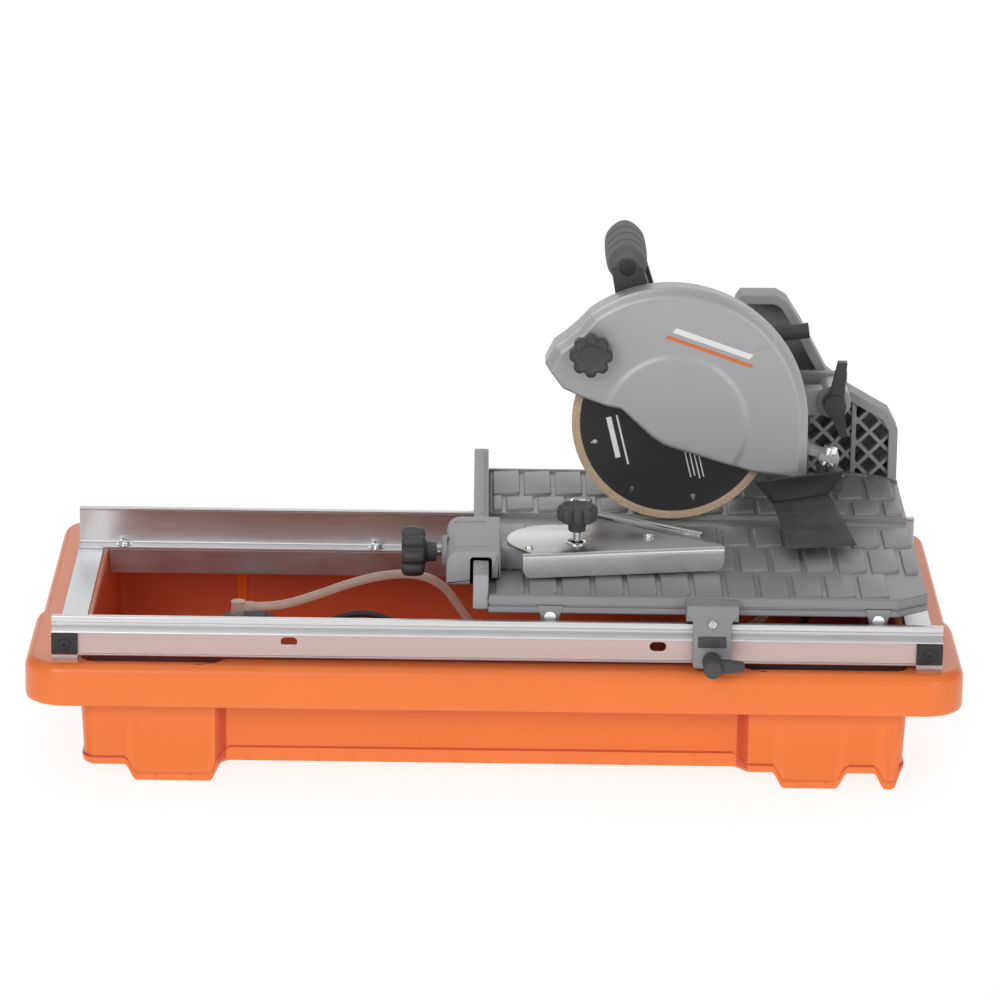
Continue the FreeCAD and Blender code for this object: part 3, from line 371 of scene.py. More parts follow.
view = {"place": (-0.0234, -4.4321, 1.4890), "yaw": 0.35, "down": 16.3, "roll": 0.85, "lens": 190.44,
        "sensor": 36.0}


def buildCamera():
    # The eye looks along f; r and u are its right and up, turned about f by the roll.
    yaw, down, roll = (math.radians(view[key]) for key in ("yaw", "down", "roll"))
    f = Vector((math.sin(yaw) * math.cos(down), math.cos(yaw) * math.cos(down), -math.sin(down)))
    r = Vector((math.cos(yaw), -math.sin(yaw), 0.0))
    u = r.cross(f)
    right = r * math.cos(roll) + u * math.sin(roll)
    up = u * math.cos(roll) - r * math.sin(roll)
    data = bpy.data.cameras.new("camera")
    data.lens = view["lens"]
    data.sensor_width = view["sensor"]
    camera = bpy.data.objects.new("camera", data)
    turn = Matrix((right, up, -f)).transposed().to_4x4()
    camera.matrix_world = Matrix.Translation(view["place"]) @ turn
    scene.collection.objects.link(camera)
    scene.camera = camera


studio = {"key": ((-1.8, -4.0, 2.4), 2.4, 84.0), "fill": ((2.6, -3.6, 1.4), 2.4, 38.0),
          "top": ((0.2, 0.6, 3.2), 2.8, 16.0), "back": ((0.2, 3.0, 1.6), 2.4, 10.0)}


aimHeight, worldStrength = 0.15, 0.34


def buildLights():  # square soft boxes, each turned to the saw
    aim = Vector((0.0, 0.0, aimHeight))
    for name, (place, size, power) in studio.items():
        data = bpy.data.lights.new(name, "AREA")
        data.shape = "SQUARE"
        data.size = size
        data.energy = power
        lamp = bpy.data.objects.new(name, data)
        lamp.location = place
        lamp.rotation_euler = (aim - Vector(place)).to_track_quat("-Z", "Y").to_euler()
        scene.collection.objects.link(lamp)
    world = bpy.data.worlds.new("studio")
    world.use_nodes = True
    back = world.node_tree.nodes["Background"]
    back.inputs["Color"].default_value = (1.0, 1.0, 1.0, 1.0)
    back.inputs["Strength"].default_value = worldStrength
    scene.world = world
    scene.view_settings.view_transform = "Standard"


floorLook = {"across": (-7.0, 7.0, 29), "along": (-7.0, 9.0, 65), "bend": 3.5, "rise": 0.10, "glow": 0.84,
             "tones": ((0.22, 0.22, 0.22, 1), (0.24, 0.24, 0.24, 1))}


def buildFloor():
    # One sheet, flat under the saw and rising behind it: height = rise * (y past the bend) squared.
    across, along = np.linspace(*floorLook["across"]), np.linspace(*floorLook["along"])
    x, y = np.meshgrid(across, along, indexing="ij")
    z = floorLook["rise"] * np.clip(y - floorLook["bend"], 0.0, None) ** 2
    mesh = bpy.data.meshes.new("floor")
    verts, faces = gridPart(np.stack([x, y, z], -1))
    mesh.from_pydata(verts, [], faces)
    mesh.shade_smooth()
    tree, shader = newMaterial("paleFloor", Roughness=0.6)
    place = put(tree, "TexCoord")
    noise = put(tree, "TexNoise", {"Scale": 1.5, "Detail": 3.0})
    tree.links.new(place.outputs["Object"], noise.inputs["Vector"])
    tree.links.new(mixColour(tree, noise.outputs["Fac"], *floorLook["tones"]), shader.inputs["Base Color"])
    shader.inputs["Emission Color"].default_value = (1.0, 1.0, 1.0, 1.0)
    shader.inputs["Emission Strength"].default_value = floorLook["glow"]
    mesh.materials.append(materials["paleFloor"])
    floor = bpy.data.objects.new("floor", mesh)
    scene.collection.objects.link(floor)


# Mesh helpers

def gridPart(points, wrapRows=False, wrapColumns=False, capStart=False, capEnd=False):
    # points is (rows, columns, 3); each four neighbours make a face, and a cap closes the first or last row.
    rows, columns = points.shape[:2]
    i, j = np.meshgrid(np.arange(rows if wrapRows else rows - 1),
                       np.arange(columns if wrapColumns else columns - 1), indexing="ij")
    i2, j2 = (i + 1) % rows, (j + 1) % columns
    faces = np.stack([i * columns + j, i * columns + j2, i2 * columns + j2, i2 * columns + j], -1)
    faces = faces.reshape(-1, 4).tolist()
    if capStart:
        faces.append(list(range(columns))[::-1])
    if capEnd:
        faces.append(list(range((rows - 1) * columns, rows * columns)))
    return points.reshape(-1, 3), faces


def makePiece(name, parts, material, body, stands=(), smooth=35.0, closed=True, second=None):
    # Joins the parts into one mesh, merges doubles, turns the faces outwards and sets it on its body.
    # second is another finish and a test of face centres and normals that says where it goes.
    verts = np.concatenate([part[0] for part in parts])
    faces, start = [], 0
    for points, quads in parts:
        faces += [[index + start for index in face] for face in quads]
        start += len(points)
    mesh = bpy.data.meshes.new(name)
    mesh.from_pydata(verts, [], faces)
    shape = bmesh.new()
    shape.from_mesh(mesh)
    bmesh.ops.remove_doubles(shape, verts=shape.verts, dist=0.000005)
    bmesh.ops.dissolve_degenerate(shape, dist=0.000002, edges=shape.edges)
    if closed:
        bmesh.ops.recalc_face_normals(shape, faces=shape.faces)
    shape.to_mesh(mesh)
    shape.free()
    mesh.shade_smooth()
    mesh.set_sharp_from_angle(angle=math.radians(smooth))
    mesh.materials.append(materials[material])
    if second:
        mesh.materials.append(materials[second[0]])
        centres, normals = np.empty((2, len(mesh.polygons) * 3), np.float32)
        mesh.polygons.foreach_get("center", centres)
        mesh.polygons.foreach_get("normal", normals)
        chosen = second[1](centres.reshape(-1, 3) / mm, normals.reshape(-1, 3))
        mesh.polygons.foreach_set("material_index", chosen.astype(np.int32))
    piece = bpy.data.objects.new(name, mesh)
    scene.collection.objects.link(piece)
    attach(piece, body)
    if stands:
        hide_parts(*stands)
    return piece


buildCamera()
buildLights()
buildFloor()
print("camera, lights and floor")


# Water hose and pump cable

hose = {"points": [(-213, 50, 77), (-192, 50, 77), (-160, 47, 88), (-128, 46, 101), (-96, 48, 109), (-66, 51, 109),
                   (-44, 55, 97), (-30, 58, 75), (-12, 62, 50), (22, 66, 34), (70, 66, 30), (124, 72, 27),
                   (176, 92, 27), (222, 124, 32), (254, 152, 48), (268, 165, 74), (268, 165, 97)],
        "diameter": 8.0, "length": 583.7}
cable = {"points": [(-189, 38, 56), (-170, 38, 56), (-146, 34, 70), (-116, 30, 80), (-86, 27, 72), (-58, 24, 54),
                    (-22, 22, 30), (24, 24, 24), (78, 30, 22), (134, 42, 22), (190, 60, 22), (240, 92, 24),
                    (278, 132, 36), (300, 165, 66), (300, 165, 97)],
         "diameter": 6.0, "length": 588.5}


def buildCord(name, route, material, node):
    # A smooth curve whose control points are the route, as thick as the tube.
    curve = bpy.data.curves.new(name, "CURVE")
    curve.dimensions = "3D"
    curve.resolution_u = 12
    curve.bevel_depth = route["diameter"] * mm / 2
    curve.bevel_resolution = 6
    curve.use_fill_caps = True
    spline = curve.splines.new("NURBS")
    points = np.array(route["points"]) * mm
    spline.points.add(len(points) - 1)
    spline.points.foreach_set("co", np.column_stack([points, np.ones(len(points))]).ravel())
    spline.order_u = 3
    spline.use_endpoint_u = True
    curve.materials.append(materials[material])
    piece = bpy.data.objects.new(name, curve)
    scene.collection.objects.link(piece)
    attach(piece, "base")
    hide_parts(node)


buildCord("waterHose", hose, "clearVinyl", "water_hose")
buildCord("pumpCable", cable, "blackRubber", "pump_cable")
print("hose and cable")


# Shape helpers, all in millimetres

def ease(x, start, end):  # 0 before start, 1 after end, smooth between: 3t^2 - 2t^3
    t = np.clip((x - start) / (end - start), 0.0, 1.0)
    return t * t * (3.0 - 2.0 * t)


def insetLoop(loop, distance):
    # Moves each side of a closed outline inwards; a corner goes along the sum of its two normals.
    loop = np.asarray(loop, float)
    after = np.roll(loop, -1, 0) - loop
    area = np.sum(loop[:, 0] * np.roll(loop[:, 1], -1) - loop[:, 1] * np.roll(loop[:, 0], -1))
    normal = np.stack([-after[:, 1], after[:, 0]], -1) * np.sign(area)
    normal /= np.maximum(np.linalg.norm(normal, axis=1, keepdims=True), 1e-9)
    before = np.roll(normal, 1, 0)
    share = 1.0 + np.sum(normal * before, 1, keepdims=True)
    return loop + distance * (normal + before) / np.maximum(share, 0.35)


def roundLoop(corners, radius, steps=5):
    # Each corner becomes a curve from the point one radius before it to the one after: a quadratic Bezier.
    corners = np.asarray(corners, float)
    before, after = np.roll(corners, 1, 0) - corners, np.roll(corners, -1, 0) - corners
    reach = np.broadcast_to(np.asarray(radius, float), (len(corners),))
    lengthA, lengthB = np.linalg.norm(before, axis=1), np.linalg.norm(after, axis=1)
    start = corners + before * (np.minimum(reach, lengthA * 0.48) / lengthA)[:, None]
    end = corners + after * (np.minimum(reach, lengthB * 0.48) / lengthB)[:, None]
    t = np.linspace(0, 1, steps)[None, :, None]
    curve = (1 - t) ** 2 * start[:, None] + 2 * t * (1 - t) * corners[:, None] + t ** 2 * end[:, None]
    return curve.reshape(-1, 2)


def placed(points, plane, depth):  # flat points into space; plane names the two axes they lie on
    points = np.asarray(points, float)
    out = np.zeros(points.shape[:-1] + (3,))
    first, second, third = {"xy": (0, 1, 2), "xz": (0, 2, 1), "yz": (1, 2, 0)}[plane]
    out[..., first], out[..., second], out[..., third] = points[..., 0], points[..., 1], depth
    return out


def slabPart(loop, plane, low, high, edge=0.6, steps=3):
    # An outline given a thickness, its rims rounded: inset edge * (1 - sin a), height edge * (1 - cos a).
    turn = np.linspace(0, math.pi / 2, steps)
    rings = [placed(insetLoop(loop, edge * (1 - math.sin(a))), plane, low + edge * (1 - math.cos(a))) for a in turn]
    rings += [placed(insetLoop(loop, edge * (1 - math.sin(a))), plane, high - edge * (1 - math.cos(a)))
              for a in turn[::-1]]
    points, faces = gridPart(np.array(rings), wrapColumns=True, capStart=True, capEnd=True)
    return points * mm, faces


def turnedPart(profile, origin, axis, segments=48, lobes=0, scallop=0.0, sharp=3.0):
    # A profile of (radius, height) turned about an axis; scallops take scallop * ((1 - cos(n a)) / 2) ** sharp
    # off the radius wherever the profile's third number is 1.
    profile = np.asarray(profile, float)
    if profile.shape[1] == 2:
        profile = np.column_stack([profile, np.zeros(len(profile))])
    angle = np.linspace(0, 2 * math.pi, segments, endpoint=False)
    bite = scallop * ((1 - np.cos(lobes * angle)) / 2) ** sharp
    radius = profile[:, :1] * (1 - profile[:, 2:] * bite)
    axis = np.asarray(axis, float) / np.linalg.norm(axis)
    side = np.cross(axis, (0.0, 0.0, 1.0) if abs(axis[2]) < 0.9 else (1.0, 0.0, 0.0))
    side /= np.linalg.norm(side)
    other = np.cross(axis, side)
    points = (np.asarray(origin, float) + profile[:, 1, None, None] * axis
              + radius[..., None] * (np.cos(angle)[:, None] * side + np.sin(angle)[:, None] * other))
    points, faces = gridPart(points, wrapColumns=True, capStart=profile[0, 0] > 0, capEnd=profile[-1, 0] > 0)
    return points * mm, faces


def arcPoints(centre, radius, start, end, count):  # points on a circle between two angles in degrees
    angle = np.radians(np.linspace(start, end, count))
    return np.stack([centre[0] + radius * np.cos(angle), centre[1] + radius * np.sin(angle)], -1)


def alongLoop(loop, count):  # the same line with count points evenly spaced along it
    loop = np.asarray(loop, float)
    run = np.concatenate([[0], np.cumsum(np.linalg.norm(np.diff(loop, axis=0), axis=1))])
    at = np.linspace(0, run[-1], count)
    return np.stack([np.interp(at, run, loop[:, k]) for k in range(loop.shape[1])], -1)


# Tray

tray = {"rimHalf": (396.0, 218.0), "rimCorner": 34.0, "rimTop": 107.0,
        "half": (351.0, 204.0), "corner": 15.0, "wall": 4.0, "floor": 14.0, "draft": 4.5,
        "waist": 14.0, "waistEnds": (-237.0, -223.0, 203.0, 217.0), "grip": 4.5, "gripEnds": (-70.0, -60.0),
        "feet": ((-312.0, -230.0), (236.0, 300.0), (322.0, 350.0)), "footSlope": 10.0, "footDepth": 40.0,
        "band": 7.0, "midBand": 13.0, "bandStep": 1.6, "ribPitch": 29.0, "ribWidth": 1.6}


def trayPlan(halfX, halfY, corner, waist=0.0, grip=0.0):
    # A rounded rectangle, its long sides pulled in by the waist and its ends by the hand grip.
    t = np.linspace(-1, 1, 301)
    s = np.linspace(-1, 1, 45)
    longX, shortY = halfX - corner, halfY - corner
    sides = [np.stack([t * longX, np.full_like(t, -halfY)], -1), np.stack([np.full_like(s, halfX), s * shortY], -1)]
    sides += [-sides[0], -sides[1]]
    ring = []
    for k, side in enumerate(sides):
        spin = 90.0 * k - 90.0
        middle = (longX * (1 if k in (0, 1) else -1), shortY * (-1 if k in (0, 3) else 1))
        ring += [side, arcPoints(middle, corner, spin, spin + 90.0, 14)[1:-1]]
    ring = np.vstack(ring)
    x, y = ring[:, 0].copy(), ring[:, 1].copy()
    a, b, c, d = tray["waistEnds"]
    scale = longX / (tray["half"][0] - tray["corner"])
    pulled = ease(x / scale, a, b) * (1 - ease(x / scale, c, d))
    y -= np.sign(y) * waist * pulled * (np.abs(y) / halfY) ** 12
    x -= np.sign(x) * grip * ease(y, *tray["gripEnds"]) * (np.abs(x) / halfX) ** 12
    return np.stack([x, y], -1), ring[:, 0] / scale, np.abs(ring[:, 1]) / halfY, pulled


def trayBottom():  # height of the tray's underside round its edge: the floor, less the feet on the long sides
    _, x, side, pulled = trayPlan(*tray["half"], tray["corner"])
    down = np.zeros_like(x)
    for start, end in tray["feet"]:
        slope = tray["footSlope"]
        down = np.maximum(down, ease(x, start, start + slope) * (1 - ease(x, end - slope, end)))
    down = down * (side > 0.93)
    band = tray["band"] + (tray["midBand"] - tray["band"]) * pulled
    return tray["floor"] * (1 - down), band


def buildTray():
    # Rings of the plan stacked from the inside floor, up the wall, over the rolled rim and down the outside.
    hx, hy = tray["half"]
    rx, ry = tray["rimHalf"]
    corner, wall, top, waist = tray["corner"], tray["wall"], tray["rimTop"], tray["waist"]
    bottom, band = trayBottom()
    rings = []

    def ring(inset, z, rim=False, radius=None, grip=0.0):
        half = (rx - inset, ry - inset) if rim else (hx - inset, hy - inset)
        size = radius or ((tray["rimCorner"] if rim else corner) - inset * 0.8)
        plan = trayPlan(*half, max(size, 3.0), 0.0 if rim else waist, grip)[0]
        rings.append(np.column_stack([plan, np.broadcast_to(z, len(plan))]))

    draft = tray["draft"]
    for inset, z in ((wall + draft + 14, 18.0), (wall + draft + 6, 18.4), (wall + draft + 1.5, 20.4),
                     (wall + draft, 25.0), (wall + 1.0, 96.0), (wall + 0.4, 103.0), (wall - 0.8, 105.6),
                     (wall - 3.0, 106.8), (wall - 5.0, 107.0)):
        ring(inset, z)
    ring(8.0, top, True, grip=1.0)
    for a in np.linspace(0.15, 1.0, 7) * math.pi / 2:  # the roll: a quarter of an ellipse
        ring(7.5 * (1 - math.sin(a)), top - 9.0 * (1 - math.cos(a)), True, grip=tray["grip"])
    ring(0.0, 84.0, True, grip=tray["grip"])
    for inset, z in ((0.1, 74.0), (0.6, 72.0), (2.0, 71.0), (3.4, 71.2), (4.0, 73.0), (4.4, 100.0), (6.0, 103.0)):
        ring(inset, z, True, grip=tray["grip"])
    ring(-0.5, 103.0)
    ring(0.2, 100.0)
    line = bottom + band
    share = (top - line) / (top - tray["floor"])
    ring(1.0, 90.0)
    for lift, out in ((1.2, 0.0), (0.3, 0.35), (-0.4, 1.0)):
        rings.append(bandRing(line + lift, draft * share - out * tray["bandStep"], waist))
    for lift, inset in ((3.0, draft - 1.6), (1.0, draft - 1.0), (0.2, draft + 0.2), (0.0, draft + 2.0)):
        rings.append(bandRing(bottom + lift, np.full_like(bottom, inset), waist))
    for depth, z in ((tray["footDepth"] - 2, bottom), (tray["footDepth"], bottom * 0.3 + tray["floor"] * 0.7),
                     (tray["footDepth"] + 1, np.full_like(bottom, tray["floor"]))):
        plan = trayPlan(hx - 8.0, hy - depth, 7.0, waist)[0]
        rings.append(np.column_stack([plan, z]))
    points, faces = gridPart(np.array(rings)[:, ::-1], wrapColumns=True, capStart=True, capEnd=True)
    parts = [(points * mm, faces)] + trayRibs(draft)

    def inside(centre, normal):  # walls that face the middle, and the floor, below the rim: the faces that get the painted shade
        x, y, z = centre.T
        facing = normal[:, 0] * x + normal[:, 1] * y < 0
        body = (np.abs(x) < hx + 1) & (np.abs(y) < hy + 1) & (z > 17.0) & (z < 104.5)
        return body & (facing | (normal[:, 2] > 0.5))

    # the inner walls and floor take the painted shade finish
    makePiece("tray", parts, "trayPlastic", "base", ["tray"], smooth=42,
              second=("trayInsideShade", inside))


def bandRing(z, inset, waist):  # the body's plan moved in by a different amount at each point
    hx, hy = tray["half"]
    plan = trayPlan(hx, hy, tray["corner"], waist)[0]
    x, y = np.abs(plan).T
    away = np.sign(plan) * np.stack([ease(x, hx - 16, hx), ease(y, hy - 34, hy - 14)], -1)
    return np.column_stack([plan - away * inset[:, None], z])


def trayRibs(draft):  # thin upright ribs on the lower band, each a half round bar
    hy, width = tray["half"][1], tray["ribWidth"]
    left, right = tray["waistEnds"][1] + 16, tray["waistEnds"][2] - 6
    middle = np.arange(left, right, tray["ribPitch"])
    spots = [(x, tray["floor"], tray["midBand"], tray["waist"]) for x in middle]
    spots += [(x, 0.0, tray["band"], 0.0) for x in (-285.0, -256.0, 257.0, 282.0)]
    bow = np.radians(np.linspace(0, 180, 6))
    parts = []
    for side in (-1, 1):
        for x, low, tall, pulled in spots:
            y = side * (hy - pulled - draft + 1.2)
            arc = np.stack([x + width * np.cos(bow), y + side * 0.9 * np.sin(bow)], -1)
            rows = np.array([np.column_stack([arc, np.full(len(arc), z)]) for z in (low + 1.0, low + tall - 0.6)])
            points, faces = gridPart(rows, wrapColumns=True, capStart=True, capEnd=True)
            parts.append((points * mm, faces))
    return parts


buildTray()
print("tray")


# Table

table = {"left": -6.0, "right": 365.0, "front": -191.0, "back": 200.0, "top": 165.0,
         "corner": (27.0, 21.0), "slot": (28.0, 62.0), "slotDeep": 6.0, "pad": 2.0, "pitch": 28.0, "gap": 4.0,
         "slant": 7.0, "hangers": (46.0, 322.0), "axleZ": 147.8,
         "rows": ((-184.5, -112.0, 4.0), (-109.0, -38.0, 18.0), (-35.0, 24.5, 6.0), (66.0, 112.0, 14.0),
                  (115.0, 194.5, 2.0))}  # front, back and sideways shift of each row of pads


def tableBounds(x, inset):  # front and back of the table at each x, with its right corners cut off
    cx, cy = table["corner"]
    cut = np.clip((x - (table["right"] - cx)) / cx, 0, 1) * cy
    return table["front"] + inset + cut, table["back"] - inset - cut


def tableDeck(inset):
    # Columns run across the table and rows carry one profile from front to back, with the blade's channel in it.
    left, right = table["left"] + inset, table["right"] - inset
    knee = table["right"] - table["corner"][0] + inset * 0.4
    x = np.concatenate([np.linspace(left, knee, 40), np.linspace(knee, right, 8)[1:]])
    front, back = tableBounds(x, inset)
    a, b = table["slot"]
    deck, floor = table["top"] - table["pad"], table["top"] - table["slotDeep"]
    rim = [(0.0, table["top"]), (4.0, table["top"]), (4.7, deck)]
    inner = np.linspace(0, 1, 12)[1:-1]
    rows, heights = [], []
    for step, z in rim:
        rows.append(front + step)
        heights.append(z)
    for t in inner:
        rows.append((front + 4.7) * (1 - t) + (a - 1.0) * t)
        heights.append(deck)
    for y, z in ((a - 0.6, deck), (a, deck - 0.6), (a + 0.6, floor + 0.4), (a + 1.4, floor),
                 (b - 1.4, floor), (b - 0.6, floor + 0.4), (b, deck - 0.6), (b + 0.6, deck)):
        rows.append(np.full_like(x, y))
        heights.append(z)
    for t in inner:
        rows.append((b + 1.0) * (1 - t) + (back - 4.7) * t)
        heights.append(deck)
    for step, z in reversed(rim):
        rows.append(back - step)
        heights.append(z)
    y = np.array(rows)
    return np.stack([np.broadcast_to(x, y.shape), y, np.broadcast_to(np.array(heights)[:, None], y.shape)], -1)


def border(grid):  # the four sides of a grid as one closed loop
    return np.vstack([grid[0, :-1], grid[:-1, -1], grid[-1, :0:-1], grid[:0:-1, 0]])


def tablePads():
    # Raised pads: slanted ends, sides along the table, each ring of the pad a little smaller and higher.
    parts = []
    pitch, gap, slant = table["pitch"], table["gap"], table["slant"]
    for front, back, shift in table["rows"]:
        for k in range(-1, 14):
            left = max(table["left"] + 4.0, table["left"] + shift + k * pitch + gap / 2)
            right = min(table["right"] - 3.0, table["left"] + shift + (k + 1) * pitch - gap / 2)
            if right - left < 5.0:
                continue
            lean = slant * (right - left) / pitch
            loop = np.array([(left, front), (right, front + lean), (right, back), (left, back - lean)])
            near, far = tableBounds(loop[:, 0], 6.5)
            if (near > min(front, back - lean) + 6.0).any() and right > table["right"] - 30.0:
                loop[:, 0] = np.minimum(loop[:, 0], table["right"] - table["corner"][0] - 1.0)
                near, far = tableBounds(loop[:, 0], 6.5)
                if loop[1, 0] - loop[0, 0] < 5.0:
                    continue
            loop[:, 1] = np.clip(loop[:, 1], near, far)
            loop = roundLoop(loop, 1.6, 3)
            rings = [placed(insetLoop(loop, d), "xy", table["top"] - h)
                     for d, h in ((0.0, table["pad"] + 0.2), (0.45, 0.35), (0.8, 0.08), (1.3, 0.0))]
            points, faces = gridPart(np.array(rings), wrapColumns=True, capStart=True, capEnd=True)
            parts.append((points * mm, faces))
    return parts


def buildTable():
    # The deck, then rings of its border going down the skirt with a groove round it, then pads and hangers.
    deck = tableDeck(1.4)
    edge = border(deck)
    rings = [edge]
    for inset, z in ((0.45, None), (0.0, 158.2), (0.1, 157.6), (1.6, 157.2), (1.6, 155.8), (0.0, 155.4),
                     (0.0, 151.0), (0.8, 150.0), (3.4, 150.0), (4.0, 150.6), (4.4, 156.6)):
        loop = border(tableDeck(inset))
        loop[:, 2] = edge[:, 2] - 0.5 if z is None else np.minimum(z, edge[:, 2] - 0.7)
        rings.append(loop)
    top = (deck.reshape(-1, 3) * mm, gridPart(deck)[1])
    points, faces = gridPart(np.array(rings), wrapColumns=True, capEnd=True)
    parts = [top, (points * mm, faces)] + tablePads()
    for x in table["hangers"]:  # they hold the rollers' axles
        hanger = np.vstack([arcPoints((x, table["axleZ"]), 8.0, 180, 360, 13), [(x + 11, 157.0), (x - 11, 157.0)]])
        parts.append(slabPart(hanger, "xz", -191.8, -187.2, 0.5))
        plate = [(x - 8, 149), (x + 8, 149), (x + 8, 157.5), (x - 8, 157.5)]
        parts.append(slabPart(plate, "xz", 126.0, 130.0, 0.5))
    makePiece("table", parts, "tablePaint", "table", ["table"], smooth=30)


fence = {"left": -19.0, "right": -6.0, "front": -188.0, "back": 204.0, "top": 182.0, "bottom": 152.0,
         "tick": 3.175, "tickWide": 0.5, "edgeGap": 1.2, "ends": 6.0}


def buildFence():
    # A bar with rounded rims; the ruler on its top has a raised line every eighth of an inch, longer at halves.
    bar = [(fence["left"], fence["bottom"]), (fence["right"], fence["bottom"]),
           (fence["right"], fence["top"]), (fence["left"], fence["top"])]
    parts = [slabPart(roundLoop(bar, 1.4, 4), "xz", fence["front"], fence["back"], 0.8)]
    makePiece("fenceBar", parts, "castGrey", "table", ["fence_bar"])
    ticks = []
    x1 = fence["right"] - fence["edgeGap"]
    count = int((fence["back"] - fence["front"] - 2 * fence["ends"]) / fence["tick"])
    for k in range(count):
        reach = 8.5 if k % 8 == 0 else 6.5 if k % 4 == 0 else 4.5 if k % 2 == 0 else 3.0
        x0, y = x1 - reach, fence["front"] + fence["ends"] + k * fence["tick"]
        loop = [(x0, y), (x1, y), (x1, y + fence["tickWide"]), (x0, y + fence["tickWide"])]
        ticks.append(slabPart(loop, "xy", fence["top"] - 0.2, fence["top"] + 0.06, 0.03, 2))
    makePiece("fenceRuler", ticks, "blackRubber", "table")


buildTable()
buildFence()
print("table and fence")


# Guard

guard = {"centre": (153.0, 255.0), "radius": 120.3, "front": 38.0, "split": 58.0, "wall": 3.0,
         "band": 8.5, "bandDeep": 5.0, "ring": (156.5, 251.5), "ringRadii": (59.5, 66.0), "ringRise": 1.8,
         "nose": ((41.8, 304.9), (49.6, 321.0), (59.4, 328.6), (70.2, 338.4)),
         "lower": ((41.8, 304.9), (57.5, 284.2), (72.6, 277.1), (93.8, 269.2), (108.7, 266.7), (136.0, 241.6),
                   (146.7, 234.4), (156.9, 230.9), (224.2, 210.8), (256.9, 206.7), (273.0, 198.4)),
         "tail": ((273.3, 238.0), (273.2, 216.0)), "crease": ((226.0, 319.0), (236.0, 322.0), (241.0, 330.0))}


def distanceTo(points, line):  # shortest distance from each point to a line of straight pieces
    a, b = line[:-1], line[1:]
    step = b - a
    away = points[..., None, :] - a
    t = np.clip(np.sum(away * step, -1) / np.maximum(np.sum(step * step, -1), 1e-9), 0, 1)
    return np.linalg.norm(away - t[..., None] * step, axis=-1).min(-1)


def buildGuard():
    # Each column runs from the lower edge up to the round edge; the height out of the face is the
    # raised disc's step less the bevelled band, both eased by distance.
    count = 260
    arc = arcPoints(guard["centre"], guard["radius"], 127.0, 0.0, 90)
    outer = np.vstack([guard["nose"], arc, guard["tail"], guard["lower"][-1:]])
    outer = alongLoop(outer, count)
    outer[0], outer[-1] = guard["lower"][0], guard["lower"][-1]
    lower = alongLoop(np.array(guard["lower"]), count)
    t = np.linspace(0, 1, 96) ** 0.9
    face = lower[:, None] * (1 - t[None, :, None]) + outer[:, None] * t[None, :, None]
    away = distanceTo(face, outer)
    band = 1 - ease(away, 0.0, guard["band"]) * 0.35 - 0.65 * np.clip(away / guard["band"], 0, 1)
    middle = np.linalg.norm(face - np.array(guard["ring"]), axis=-1)
    disc = 1 - ease(middle, *guard["ringRadii"])
    lip = 1 - ease(distanceTo(face, lower), 0.0, 1.6)
    crease = 1 - ease(distanceTo(face, np.array(guard["crease"])), 0.2, 1.4)
    depth = (guard["front"] + guard["bandDeep"] * band - guard["ringRise"] * disc * (1 - band)
             + 0.8 * lip + 0.7 * crease)
    skin = placed(face, "xz", 0.0)
    skin[..., 1] = depth
    rim = skin[:, -1:].repeat(4, 1)
    rim[:, :, 1] = rim[:, :, 1] + np.array([1.0, 5.0, 10.0, 100.0])
    rim[:, :, 1] = np.minimum(rim[:, :, 1], guard["split"] - 0.1)
    sheet = np.concatenate([skin, rim], 1)
    points, faces = gridPart(sheet[::-1])
    piece = makePiece("guardFront", [(points * mm, faces)], "guardPaint", "head", ["guard_front"],
                      smooth=50, closed=False)
    wall = piece.modifiers.new("wall", "SOLIDIFY")
    wall.thickness = guard["wall"] * mm
    wall.offset = -1.0


stripes = {"slope": -19.0, "centre": (184.5, 319.5), "bars": ((0.0, 80.0, 3.2, "stripeOrange"),
                                                              (7.6, 72.0, 5.0, "stripeWhite"))}


def buildStripes():  # two plain bars on the guard's face, slanted ends, turned by the slope
    turn = math.radians(stripes["slope"])
    along = np.array((math.cos(turn), math.sin(turn)))
    across = np.array((-along[1], along[0]))
    for lift, length, width, material in stripes["bars"]:
        u = np.linspace(-length / 2, length / 2, 24)
        lean = width * 0.35
        base = np.array(stripes["centre"]) + across * lift
        low = base + u[:, None] * along - across * width / 2
        high = base + (u[:, None] + lean) * along + across * width / 2
        loop = np.vstack([low, high[::-1]])
        makePiece("guard" + material[0].upper() + material[1:],
                  [slabPart(loop, "xz", guard["front"] - 0.18, guard["front"] + 0.4, 0.05, 2)],
                  material, "head")


coated("stripeOrange", {"color": rgb(214, 112, 52), "tone": 0.05, "grain": 900.0, "rough": 0.4, "edge": 0.0003,
                        "wear": 0.3, "worn": (0.8, 0.4, 0.2, 1), "bump": 0.1, "depth": 0.0001})
coated("stripeWhite", {"color": rgb(232, 232, 232), "tone": 0.04, "grain": 900.0, "rough": 0.4, "edge": 0.0003,
                       "wear": 0.2, "worn": (0.6, 0.6, 0.6, 1), "bump": 0.1, "depth": 0.0001})
buildGuard()
buildStripes()


# Blade

blade = {"x": 155.0, "y": 55.0, "z": 251.0, "radius": 88.9, "rim": 81.8, "thick": 2.2, "core": 1.7, "bore": 5.0,
         "marks": 8, "markRadius": 70.5, "printTurn": 104.0,
         "bars": ((-44.0, -17.0, 46.0, 1.6), (-52.0, -15.0, 38.0, 4.6), (14.0, -38.0, 26.0, 1.0),
                  (18.0, -38.5, 22.0, 1.0), (22.0, -39.0, 26.0, 1.0), (26.0, -40.0, 20.0, 1.0))}


